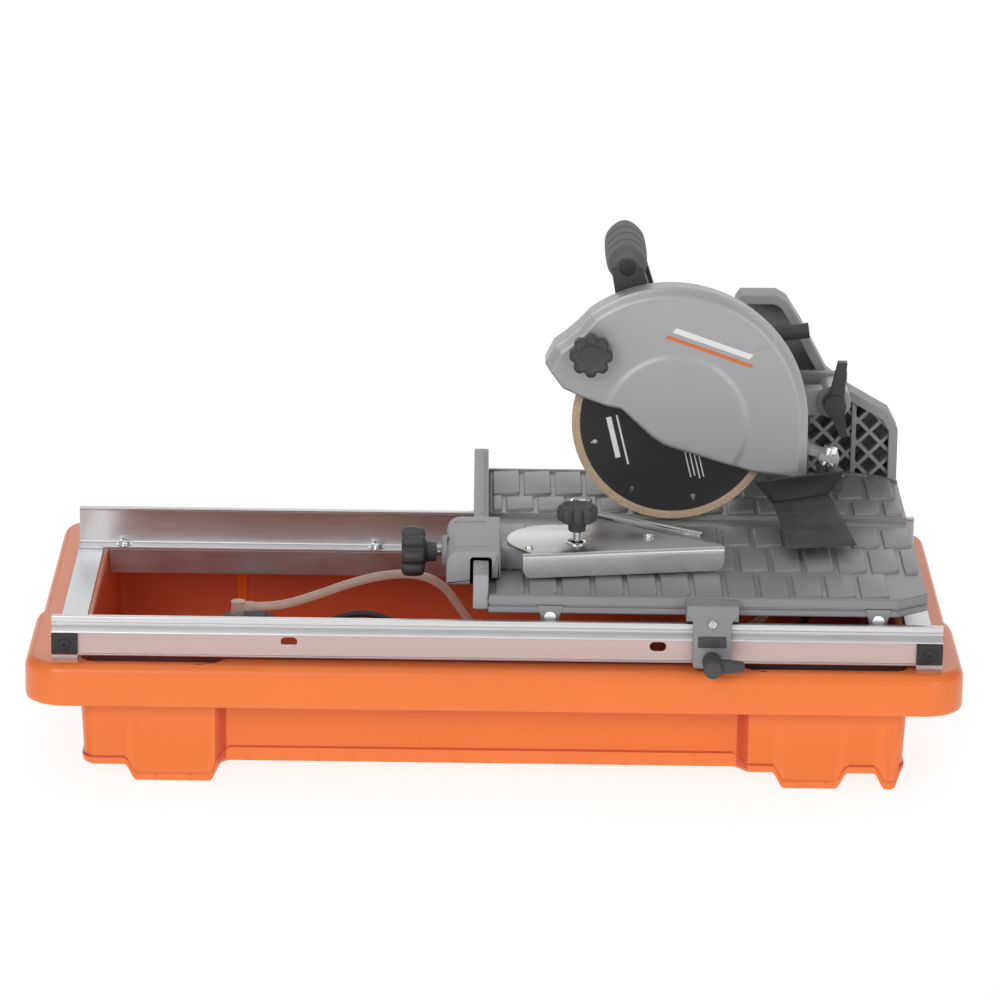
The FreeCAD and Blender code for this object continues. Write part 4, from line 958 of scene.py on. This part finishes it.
def buildBlade():
    # Rings from the bore to the rim and back, the rim thicker than the core; then the marks and plain bars.
    half, core = blade["thick"] / 2, blade["core"] / 2
    centre = np.array((blade["x"], blade["z"]))
    profile = [(blade["bore"], -core), (blade["rim"] - 0.4, -core), (blade["rim"] + 0.2, -half),
               (blade["radius"] - 0.4, -half), (blade["radius"], -half + 0.4), (blade["radius"], half - 0.4),
               (blade["radius"] - 0.4, half), (blade["rim"] + 0.2, half), (blade["rim"] - 0.4, core),
               (blade["bore"], core), (blade["bore"], -core)]
    disc = turnedPart(profile, (blade["x"], blade["y"], blade["z"]), (0, 1, 0), 180)
    makePiece("blade", [disc], "bladePaint", "spindle", ["blade"], smooth=25)
    drop = np.vstack([arcPoints((0.0, 0.0), 1.9, 150, 390, 9), [(0.0, 4.6)]])
    parts, plain = [], []
    for k in range(blade["marks"]):
        a = 2 * math.pi * (k + 0.35) / blade["marks"]
        turn = np.array(((math.cos(a), math.sin(a)), (-math.sin(a), math.cos(a))))
        spot = centre + blade["markRadius"] * np.array((-math.sin(a), math.cos(a)))
        parts.append(slabPart(drop @ turn + spot, "xz", blade["y"] - core - 0.08, blade["y"] + core + 0.08, 0.03, 2))
    makePiece("bladeMarks", parts, "brightZinc", "spindle")
    a = math.radians(blade["printTurn"])
    out, side = np.array((math.cos(a), math.sin(a))), np.array((-math.sin(a), math.cos(a)))
    for x, z, length, width in blade["bars"]:
        corners = [(-length, -width), (length, -width), (length, width), (-length, width)]
        loop = [centre + (x, z) + out * u / 2 + side * v / 2 for u, v in corners]
        plain.append(slabPart(loop, "xz", blade["y"] - core - 0.06, blade["y"] - core + 0.3, 0.02, 2))
    makePiece("bladePrint", plain, "stripeWhite", "spindle")


buildBlade()


# Knobs

knobs = {"guard": {"origin": (81.3, 16.0, 317.9), "axis": (0, 1, 0), "radius": 19.0, "deep": 21.0, "neck": 11.5,
                   "lobes": 8, "body": "guard_clamp", "node": "guard_knob", "stem": (4.0, 42.0)},
         "guideTop": {"origin": (69.0, -110.0, 222.0), "axis": (0, 0, -1), "radius": 17.5, "deep": 17.0, "neck": 8.0,
                      "lobes": 8, "body": "guide_top_knob", "node": "guide_knob", "stem": (3.0, 34.0)},
         "clamp": {"origin": (-80.5, -88.0, 172.0), "axis": (1, 0, 0), "radius": 22.0, "deep": 23.0, "neck": 9.0,
                   "lobes": 8, "body": "guide_clamp", "node": "guide_clamp_knob", "stem": (3.95, 60.5)}}


def buildKnob(name, knob):
    # Heights run from the face to the neck: a shallow dish, a rounded shoulder, scalloped flanks, a tapered neck.
    r, deep, neck = knob["radius"], knob["deep"], knob["neck"]
    lift = 1.5
    profile = [(0.0, lift, 0.0), (r * 0.42, lift, 0.0), (r * 0.55, lift * 0.8, 0.1), (r * 0.66, 0.2, 0.3),
               (r * 0.78, 0.0, 0.7), (r * 0.89, 0.7, 0.9), (r * 0.97, 2.2, 1.0), (r, 4.5, 1.0), (r, deep * 0.5, 1.0),
               (r * 0.985, deep * 0.68, 1.0), (r * 0.93, deep * 0.8, 0.9), (r * 0.8, deep * 0.86, 0.6),
               (neck * 1.15, deep * 0.88, 0.0), (neck, deep * 0.93, 0.0), (neck * 0.92, deep + neck * 0.7, 0.0)]
    end = profile[-1][1]
    profile += [(neck * 0.86, end + 0.5, 0.0), (knob["stem"][0], end + 0.6, 0.0)]
    parts = [turnedPart(profile, knob["origin"], knob["axis"], 128, knob["lobes"], 0.2, 2.2)]
    makePiece(name + "Knob", parts, "darkPlastic", knob["body"], [knob["node"]], smooth=40)
    stem, length = knob["stem"]
    heights = np.arange(end, length, 0.45)
    thread = np.column_stack([stem - 0.28 * (np.arange(len(heights)) % 2), heights])
    thread = np.vstack([[(0.0, end - 0.5)], thread, [(0.0, length)]])
    makePiece(name + "KnobScrew", [turnedPart(thread, knob["origin"], knob["axis"], 28)], "brightZinc",
              knob["body"], smooth=60)


for name, knob in knobs.items():
    buildKnob(name, knob)


# Handle

handle = {"x": 113.0, "z": 383.5, "radius": 17.5, "front": 80.0, "back": 204.0, "grooves": (112.0, 136.0, 160.0)}


def buildHandle():
    # A tube along Y whose radius swells in the middle, rounds off at both ends and dips at each groove on top.
    y = np.linspace(handle["front"], handle["back"], 150)
    angle = np.linspace(0, 2 * math.pi, 64, endpoint=False)
    t = (y - handle["front"]) / (handle["back"] - handle["front"])
    ends = np.sqrt(np.clip(1 - np.clip((0.12 - t) / 0.12, 0, 1) ** 2, 0, 1)) * np.sqrt(
        np.clip(1 - np.clip((t - 0.82) / 0.18, 0, 1) ** 2, 0, 1))
    radius = handle["radius"] * (0.93 + 0.07 * np.sin(math.pi * t)) * (0.42 + 0.58 * ends)
    dip = sum(np.exp(-((y - g) / 1.3) ** 2) for g in handle["grooves"])
    top = np.clip(np.sin(angle) + 0.55, 0, 1)
    r = radius[:, None] - 1.5 * dip[:, None] * top[None, :]
    flat = 1 - 0.06 * np.cos(2 * angle)
    points = np.stack([handle["x"] + r * np.cos(angle) * (2 - flat), np.broadcast_to(y[:, None], r.shape),
                       handle["z"] + r * np.sin(angle) * flat], -1)
    points, faces = gridPart(points, wrapColumns=True, capStart=True, capEnd=True)
    cap = turnedPart([(0.0, -3.4), (5.6, -3.4), (6.8, -2.8), (7.3, -1.6), (7.4, 0.5)],
                     (handle["x"], handle["front"] + 0.2, handle["z"]), (0, 1, 0), 40)
    makePiece("handleGrip", [(points * mm, faces)], "gripRubber", "head", ["handle_grip"], smooth=45)
    makePiece("handleCap", [cap], "blackRubber", "head", ["handle_cap"])


buildHandle()
print("head")


# Mitre guide

guide = {"pivot": (69.0, -110.0), "plateTop": 188.0, "thick": 1.8, "lipBottom": 167.0, "lipCorner": 7.0,
         "rivet": (28.0, -128.0), "nut": (130.6, -102.0), "post": (74.0, -33.0),
         "lip": ((22.9, -148.0), (195.3, -116.8)), "block": (-42.0, 4.0, -146.0, -40.0, 160.0, 190.0),
         "strip": ((90.0, -32.5), (176.5, -92.0)), "stripWide": 6.4}


def buildPlate():
    # A flat sheet with a round left end; its front edge bends down through a quarter turn into the lip.
    a, b = (np.array(point) for point in guide["lip"])
    along = (b - a) / np.linalg.norm(b - a)
    back = np.array((-along[1], along[0]))
    length = np.linalg.norm(b - a)
    top, thick, low = guide["plateTop"], guide["thick"], guide["lipBottom"]
    outline = [(8.0, 3.5), (length - 1, 3.5), (length - 1, 12.0), (96.0, 82.0), (86.0, 86.0), (74.0, 82.0)]
    outline += [tuple(p) for p in arcPoints((38.0, 42.0), 43.5, 75, 215, 16)]
    sheet = np.array([a + x * along + y * back for x, y in roundLoop(outline, 3.0, 3)])
    parts = [slabPart(sheet, "xy", top - thick, top, 0.35)]
    s = np.linspace(0.0, length, 60)
    corner = guide["lipCorner"]
    edgeDip = np.clip(np.minimum(s, length - s) / corner, 0, 1)
    bottom = low + corner * (1 - np.sqrt(np.clip(1 - (1 - edgeDip) ** 2, 0, 1)))
    bend = np.radians(np.linspace(0, 90, 7))
    radius = 3.4
    rows = []
    for r in (radius, radius - thick):
        curve = [(3.5 - r * math.sin(t), top - radius + r * math.cos(t)) for t in bend]
        face = [np.column_stack([a[None] + s[:, None] * along + y * back, np.full_like(s, z)]) for y, z in curve]
        y = 3.5 - r
        for t in np.linspace(0.15, 1, 6):
            z = (top - radius) * (1 - t) + bottom * t
            face.append(np.column_stack([a[None] + s[:, None] * along + y * back, z]))
        rows.append(face)
    shell = np.array(rows[0] + rows[1][::-1])
    points, faces = gridPart(shell, wrapRows=True)
    for end in (0, -1):  # the two narrow ends of the sheet
        strip = np.stack([np.array(rows[0])[:, end], np.array(rows[1])[:, end]])
        parts.append((strip.reshape(-1, 3) * mm, gridPart(strip)[1]))
    parts.append((points * mm, faces))
    makePiece("guidePlate", parts, "brushedSheet", "guide_fence", ["guide_plate"], smooth=40)


def buildStrip():
    # A bright bar with rounded long edges and a pressed hollow along its middle.
    a, b = (np.array(point) for point in guide["strip"])
    along = (b - a) / np.linalg.norm(b - a)
    side = np.array((-along[1], along[0]))
    half = guide["stripWide"] / 2
    u = np.array([-1.0, -1.0, -0.85, -0.5, -0.3, 0.3, 0.5, 0.85, 1.0, 1.0]) * half
    z = np.array([0.0, 3.8, 4.8, 5.0, 4.3, 4.3, 5.0, 4.8, 3.8, 0.0]) + guide["plateTop"]
    t = np.linspace(0, 1, 14)
    length = np.linalg.norm(b - a)
    rows = [np.column_stack([a + along * length * k + u[:, None] * side, z]) for k in t]
    points, faces = gridPart(np.array(rows), wrapColumns=True, capStart=True, capEnd=True)
    makePiece("guideStrip", [(points * mm, faces)], "brightZinc", "guide_fence", ["guide_strip"])


def domeBolt(x, y, z, radius, high, washer):
    # Washer, then a dome: a quarter circle, with a small round recess sunk in its top.
    turn = np.radians(np.linspace(0, 72, 6))
    profile = [(radius + washer, 0.0), (radius + washer, 0.8), (radius + washer - 0.3, 1.1), (radius, 1.1)]
    profile += [(radius * math.cos(t) ** 0.8, 1.3 + high * math.sin(t)) for t in turn]
    profile += [(radius * 0.42, 1.3 + high * 0.97), (radius * 0.40, 1.3 + high * 0.4), (0.0, 1.3 + high * 0.35)]
    return turnedPart(profile, (x, y, z), (0, 0, 1), 30)


def hexNut(x, y, z, across=7.0, high=3.2):
    # Six flats with rounded rims: the radius goes as across / (2 cos(angle from the flat's middle)).
    angle = np.linspace(0, 2 * math.pi, 48, endpoint=False)
    flat = across / 2 / np.cos((angle + math.pi / 6) % (math.pi / 3) - math.pi / 6)
    ring = np.stack([-flat * np.sin(angle), flat * np.cos(angle)], -1)
    small = ring * (across / 2 / np.linalg.norm(ring, axis=1, keepdims=True)) * 0.98
    rows = [placed(p + (x, y), "xy", z + h) for p, h in ((ring, 0.0), (ring, high - 0.5), (small, high),
                                                         (small * 0.55, high), (small * 0.5, high - 0.6))]
    points, faces = gridPart(np.array(rows), wrapColumns=True, capStart=True, capEnd=True)
    return points * mm, faces


def buildBlock():
    # The clamp block: a casting with a round left shoulder, a groove that rides on the fence, and a flat arm.
    x0, x1, y0, y1, z0, z1 = guide["block"]
    outer = [(x0, z0), (-19.6, z0), (-19.6, 182.6), (-5.4, 182.6), (-5.4, 165.8), (x1, 165.8), (x1, z1),
             (x0 + 9, z1), (x0 + 3, z1 - 3), (x0, z1 - 10)]
    outer = roundLoop(outer, [1.2, 0.8, 0.8, 0.8, 0.8, 0.8, 2.0, 4.0, 4.0, 4.0], 4)
    parts = [slabPart(outer, "xz", y0, y1, 2.2, 4)]
    arm = [(-2.0, -117.0), (81.0, -117.0), (81.0, -96.0), (-2.0, -96.0)]
    parts.append(slabPart(roundLoop(arm, 3.0, 4), "xy", 165.7, 185.4, 0.8))
    parts.append(turnedPart([(14.0, 0.5), (14.0, -2.5), (12.8, -4.0), (5.0, -4.4), (5.0, 0.5)],
                            (x0, -88.0, 172.0), (1, 0, 0), 40))
    rib = roundLoop([(x0 + 6, z1 - 1), (x0 + 34, z1 - 1), (x0 + 34, z1 + 0.8), (x0 + 8, z1 + 0.8)], 0.8, 3)
    parts += [slabPart(rib, "xz", y - 2, y + 2, 0.5) for y in (y0 + 16, y1 - 16)]
    makePiece("guideBlock", parts, "castGrey", "guide", ["guide_block"])


def buildGuideFasteners():  # a rivet, two nuts on a stud, the washer under the knob, and a post with a round cap
    top, up = guide["plateTop"], (0, 0, 1)
    nut = guide["nut"]
    parts = [domeBolt(*guide["rivet"], top - 0.2, radius=3.4, high=1.6, washer=0.6)]
    parts += [hexNut(*nut, top), hexNut(*nut, top + 3.4, high=2.6)]
    parts.append(turnedPart([(2.4, 0.0), (2.4, 6.4), (1.9, 7.0), (0.0, 7.0)], (*nut, top), up, 24))
    ring = [(9.4, 0.0), (9.4, 1.0), (8.8, 1.5), (6.6, 1.5), (5.8, 1.0), (5.8, 0.0)]
    parts.append(turnedPart(ring, (*guide["pivot"], top), up, 40))
    cap = [(3.0, 0.0), (3.0, 11.0), (8.8, 12.0), (9.5, 12.6), (9.5, 15.0), (9.0, 15.5), (7.4, 15.5), (6.6, 14.2),
           (0.0, 13.8)]
    parts.append(turnedPart(cap, (*guide["post"], top), up, 48))
    makePiece("guideFasteners", parts, "brightZinc", "guide_fence", ["guide_rivets"])


buildPlate()
buildStrip()
buildBlock()
buildGuideFasteners()
print("mitre guide")


# Rails

rails = {"left": -372.5, "right": 376.5, "bottom": 111.0, "top": 146.0, "front": -200.0, "rear": 120.0,
         "sheet": 2.5, "faceDrop": 15.0, "holes": (-173.0, 137.0), "holeZ": 125.0, "capWide": 22.0, "screwZ": 121.5,
         "bolts": (-332.0, -106.0, 90.0, 300.0), "boltY": 113.5}


def railSection(side):
    # Outline of the drawn section across the rail: thin lips, a recessed band and a flat face.
    y, low, top, sheet = rails[side], rails["bottom"], rails["top"], rails["sheet"]
    if side == "front":
        return [(y - 1.6, low), (y + 28, low), (y + 28, low + sheet), (y + sheet, low + sheet), (y + sheet, 136.0),
                (y + 19, 136.0), (y + 19, 138.5), (y + sheet, 138.5), (y + sheet, top), (y - 3.0, top),
                (y - 3.4, top - 1.8), (y - 0.2, top - 2.2), (y - 0.2, top - 5.6), (y - 1.4, top - 6.2),
                (y - 1.4, top - 7.4), (y + 0.2, top - 7.8), (y + 0.2, top - 8.6), (y - 0.6, top - 9.0),
                (y - 4.2, top - 13.6), (y - 4.2, top - 14.6), (y - 0.6, top - 15.2), (y - 0.2, low + 2.0),
                (y - 1.8, low + 1.6)]
    return [(y - 12, low), (y + sheet, low), (y + sheet, top - sheet), (y + 6, top - sheet), (y + 6, top),
            (y - 1, top), (y - 1, top - 1.4), (y, top - sheet), (y, low + sheet + 1.2), (y - 0.8, low + sheet + 0.2),
            (y - 12, low + sheet)]


def buildRail(side):
    # The section carried along X; each corner is a small curve. The front rail's face has a finish of its own: a pink
    # tint that is a painted reflection.
    loop = roundLoop(railSection(side), 0.45, 3)
    x = np.array([rails["left"], rails["left"] + 0.4, rails["right"] - 0.4, rails["right"]])
    shrink = np.array([0.35, 0.0, 0.0, 0.35])
    rings = np.array([placed(insetLoop(loop, d), "yz", at) for at, d in zip(x, shrink)])
    points, faces = gridPart(rings, wrapColumns=True, capStart=True, capEnd=True)
    if side == "rear":
        makePiece("rearRail", [(points * mm, faces)], "railAluminium", "base", ["rear_rail"], 30)
        return

    # the lower flat front faces, which take the painted pink reflection
    def reflectionTintedFace(centre, normal):
        return (normal[:, 1] < -0.9) & (centre[:, 2] < rails["top"] - rails["faceDrop"])

    cutHoles(makePiece("frontRail", [(points * mm, faces)], "railAluminium", "base", ["front_rail"], 30,
                       second=("railFaceReflectionTint", reflectionTintedFace)))


def cutHoles(piece):  # oval holes through the face, cut with the tool pieces and then applied
    z = rails["holeZ"]
    for x in rails["holes"]:
        loop = np.vstack([arcPoints((x - 3, z), 4.0, 90, 270, 12), arcPoints((x + 3, z), 4.0, -90, 90, 12)])
        points, faces = slabPart(loop, "xz", rails["front"] - 6, rails["front"] + 8, 0.01, 2)
        mesh = bpy.data.meshes.new("holeTool")
        mesh.from_pydata(points, [], faces)
        shell = bmesh.new()
        shell.from_mesh(mesh)
        bmesh.ops.recalc_face_normals(shell, faces=shell.faces)
        shell.to_mesh(mesh)
        shell.free()
        tool = bpy.data.objects.new("holeTool", mesh)
        scene.collection.objects.link(tool)
        cut = piece.modifiers.new("hole", "BOOLEAN")
        cut.object = tool
        cut.operation = "DIFFERENCE"
        bpy.context.view_layer.objects.active = piece
        bpy.ops.object.modifier_apply(modifier=cut.name)
        bpy.data.objects.remove(tool)


def buildFrameParts():  # end caps with a black screw each, and the bright bolts on the rear rail's foot
    y, wide, ahead = rails["front"], rails["capWide"], (0, -1, 0)
    head = [(5.2, 0.0), (5.2, 0.8), (4.6, 1.0), (4.4, 2.0), (3.4, 2.7), (2.0, 3.0), (1.7, 2.9), (1.6, 1.4),
            (0.0, 1.3)]
    washer = [(6.4, 0.0), (6.4, 0.5), (5.0, 0.7), (0.0, 0.7)]
    caps, screws = [], []
    for x0 in (rails["left"], rails["right"] - wide):
        block = [(x0, 112.5), (x0 + wide, 112.5), (x0 + wide, 130.5), (x0, 130.5)]
        caps.append(slabPart(roundLoop(block, 1.2, 4), "xz", y - 3.8, y - 0.1, 0.5))
        spot = (x0 + wide / 2, y - 3.6, rails["screwZ"])
        screws += [turnedPart(profile, spot, ahead, 32) for profile in (head, washer)]
    makePiece("railEndCaps", caps, "blackRubber", "base", ["rail_end_caps"])
    makePiece("endScrews", screws, "blackRubber", "base")
    z = rails["bottom"] + rails["sheet"] - 0.1
    bolts = [domeBolt(x, rails["boltY"], z, radius=5.6, high=4.2, washer=1.4) for x in rails["bolts"]]
    makePiece("railBolts", bolts, "brightZinc", "base", ["frame_fasteners"])


lock = {"x": (165.0, 199.0), "mid": 182.0, "axisZ": 117.0, "front": -212.0, "flare": 5.0}


def buildTableLock():
    # A strap that widens to the table, with a screw, over a cam lever whose arm points right.
    x0, x1 = lock["x"]
    mid, front, flare, ahead = lock["mid"], lock["front"], lock["flare"], (0, -1, 0)
    strap = [(x0 + 1, 109.5), (x1 - 1, 109.5), (x1 - 1, 150.0), (x1 + flare, 156.5), (x1 + flare, 164.6),
             (x0 - flare, 164.6), (x0 - flare, 156.5), (x0 + 1, 150.0)]
    bridge = [(x0 - flare, -206.0), (x1 + flare, -206.0), (x1 + flare, -190.6), (x0 - flare, -190.6)]
    parts = [slabPart(roundLoop(strap, 3.0, 4), "xz", front, -205.0, 1.2), slabPart(bridge, "xy", 149.0, 164.4, 0.8)]
    makePiece("tableLockBracket", parts, "tablePaint", "table", ["table_lock_bracket"])
    panel = [(x0 + 5, 128.0), (x1 - 5, 128.0), (x1 - 5, 138.0), (x0 + 5, 138.0)]
    panel = slabPart(roundLoop(panel, 1.2, 3), "xz", front - 0.5, front + 0.4, 0.3)
    makePiece("tableLockPanel", [panel], "darkPlastic", "table")
    screw = [(4.2, -0.4), (4.2, 1.2), (3.4, 2.2), (1.9, 2.5), (1.7, 1.0), (0.0, 0.9)]
    screw = turnedPart(screw, (mid, front, 149.0), ahead, 32)
    makePiece("tableLockScrew", [screw], "groundSteel", "table")
    z = lock["axisZ"]
    hub = [(3.9, -2.0), (3.9, 0.5), (7.6, 0.6), (8.0, 1.4), (8.0, 10.0), (7.4, 11.0), (7.4, 20.0), (7.8, 21.0),
           (7.8, 25.6), (7.0, 27.0), (5.0, 27.4), (0.0, 27.4)]
    arm = [(mid - 3, z - 5.0), (mid + 12, z - 5.4), (mid + 27, z - 3.6), (mid + 27, z + 3.6), (mid + 12, z + 5.4),
           (mid - 3, z + 5.0)]
    parts = [turnedPart(hub, (mid, front - 0.6, z), ahead, 48),
             slabPart(roundLoop(arm, 2.6, 4), "xz", -232.0, -222.5, 2.0, 4)]
    makePiece("tableLockLever", parts, "darkPlastic", "table_lock", ["table_lock_lever"])


for side in ("front", "rear"):
    buildRail(side)
buildFrameParts()
buildTableLock()
print("rails and table lock")


# Splash flap

flap = {"bib": ((226.0, 206.0), (306.0, 217.0), (292.0, 195.0), (243.0, 186.0)), "y": 24.5, "thick": 2.6,
        "tongue": ((243.0, 21.5, 187.0), (292.0, 21.5, 196.0), (312.0, -62.0, 174.5), (253.0, -76.0, 174.5)),
        "creases": (0.24, 0.62), "foldAxis": (0, 0.89, 0.45), "foldAnchor": (0.27, 0.026, 0.212), "foldKeep": 0.06}


def softSheet(corners, sag, creases, rows=40, columns=26):
    # Two-way blend of four corners; the middle sags by sin(pi u) sin(pi v), and a crease is a narrow dip.
    a, b, c, d = (np.array(corner) for corner in corners)
    u, v = np.meshgrid(np.linspace(0, 1, rows), np.linspace(0, 1, columns), indexing="ij")
    u3, v3 = u[..., None], v[..., None]
    sheet = (1 - u3) * ((1 - v3) * a + v3 * b) + u3 * ((1 - v3) * d + v3 * c)
    normal = np.cross(b - a, d - a)
    normal /= np.linalg.norm(normal)
    height = sag * np.sin(math.pi * u) * np.sin(math.pi * v)
    for crease in creases:
        height -= 0.9 * np.exp(-((u - crease) / 0.018) ** 2)
    edge = np.minimum(np.minimum(u, 1 - u) * rows, np.minimum(v, 1 - v) * columns)
    thick = flap["thick"] * np.sqrt(np.clip(edge / 2.0, 0.02, 1))
    upper = sheet + (height + thick / 2)[..., None] * normal
    lower = sheet + (height - thick / 2)[..., None] * normal
    rim = np.stack([border(upper), border(lower)])
    parts = [(upper.reshape(-1, 3) * mm, gridPart(upper)[1]), (lower.reshape(-1, 3) * mm, gridPart(lower)[1])]
    parts.append((rim.reshape(-1, 3) * mm, gridPart(rim, wrapColumns=True)[1]))
    return parts


def buildFlap():  # the bib and the tongue, two soft sheets, each with a mesh of its own
    bib = softSheet([(x, flap["y"], z) for x, z in flap["bib"]], 2.0, ())
    tongue = softSheet(flap["tongue"], 3.0, flap["creases"])
    back = makePiece("flapBib", bib, "blackRubber", "flap", ["splash_flap"])
    front = makePiece("flapTongue", tongue, "flapRubber", "flap")
    for piece in (back, front):
        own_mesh(piece)


coated("flapRubber", {"color": rgb(50, 50, 51), "tone": 0.15, "grain": 800.0, "rough": 0.6, "edge": 0.0006,
                      "wear": 0.3, "worn": (0.08, 0.08, 0.08, 1), "bump": 0.3, "depth": 0.0002, "dust": 0.08})
buildFlap()
print("flap")


# Finishes of the nodes that stay

slotFinish = {"tray_plastic": "trayPlastic", "aluminium": "railAluminium", "galvanised": "zincSheet",
              "cast_grey": "castGrey", "guard_paint": "guardPaint", "table_paint": "tablePaint",
              "dark_plastic": "darkPlastic", "black_rubber": "blackRubber", "steel": "groundSteel",
              "stainless_sheet": "brushedSheet", "bright_zinc": "brightZinc", "blade_steel": "bladePaint",
              "clear_vinyl": "clearVinyl", "switch_red": "redPlastic"}
nodeFinish = {"handle_grip": "gripRubber"}


def finishNodes():
    for part in frame["record"]["subparts"]:
        node = nodes[part["node"]]
        finish = nodeFinish.get(part["node"], slotFinish[part["material_slot"]])
        for place in node.material_slots:
            place.material = materials[finish]


finishNodes()
print("nodes finished")
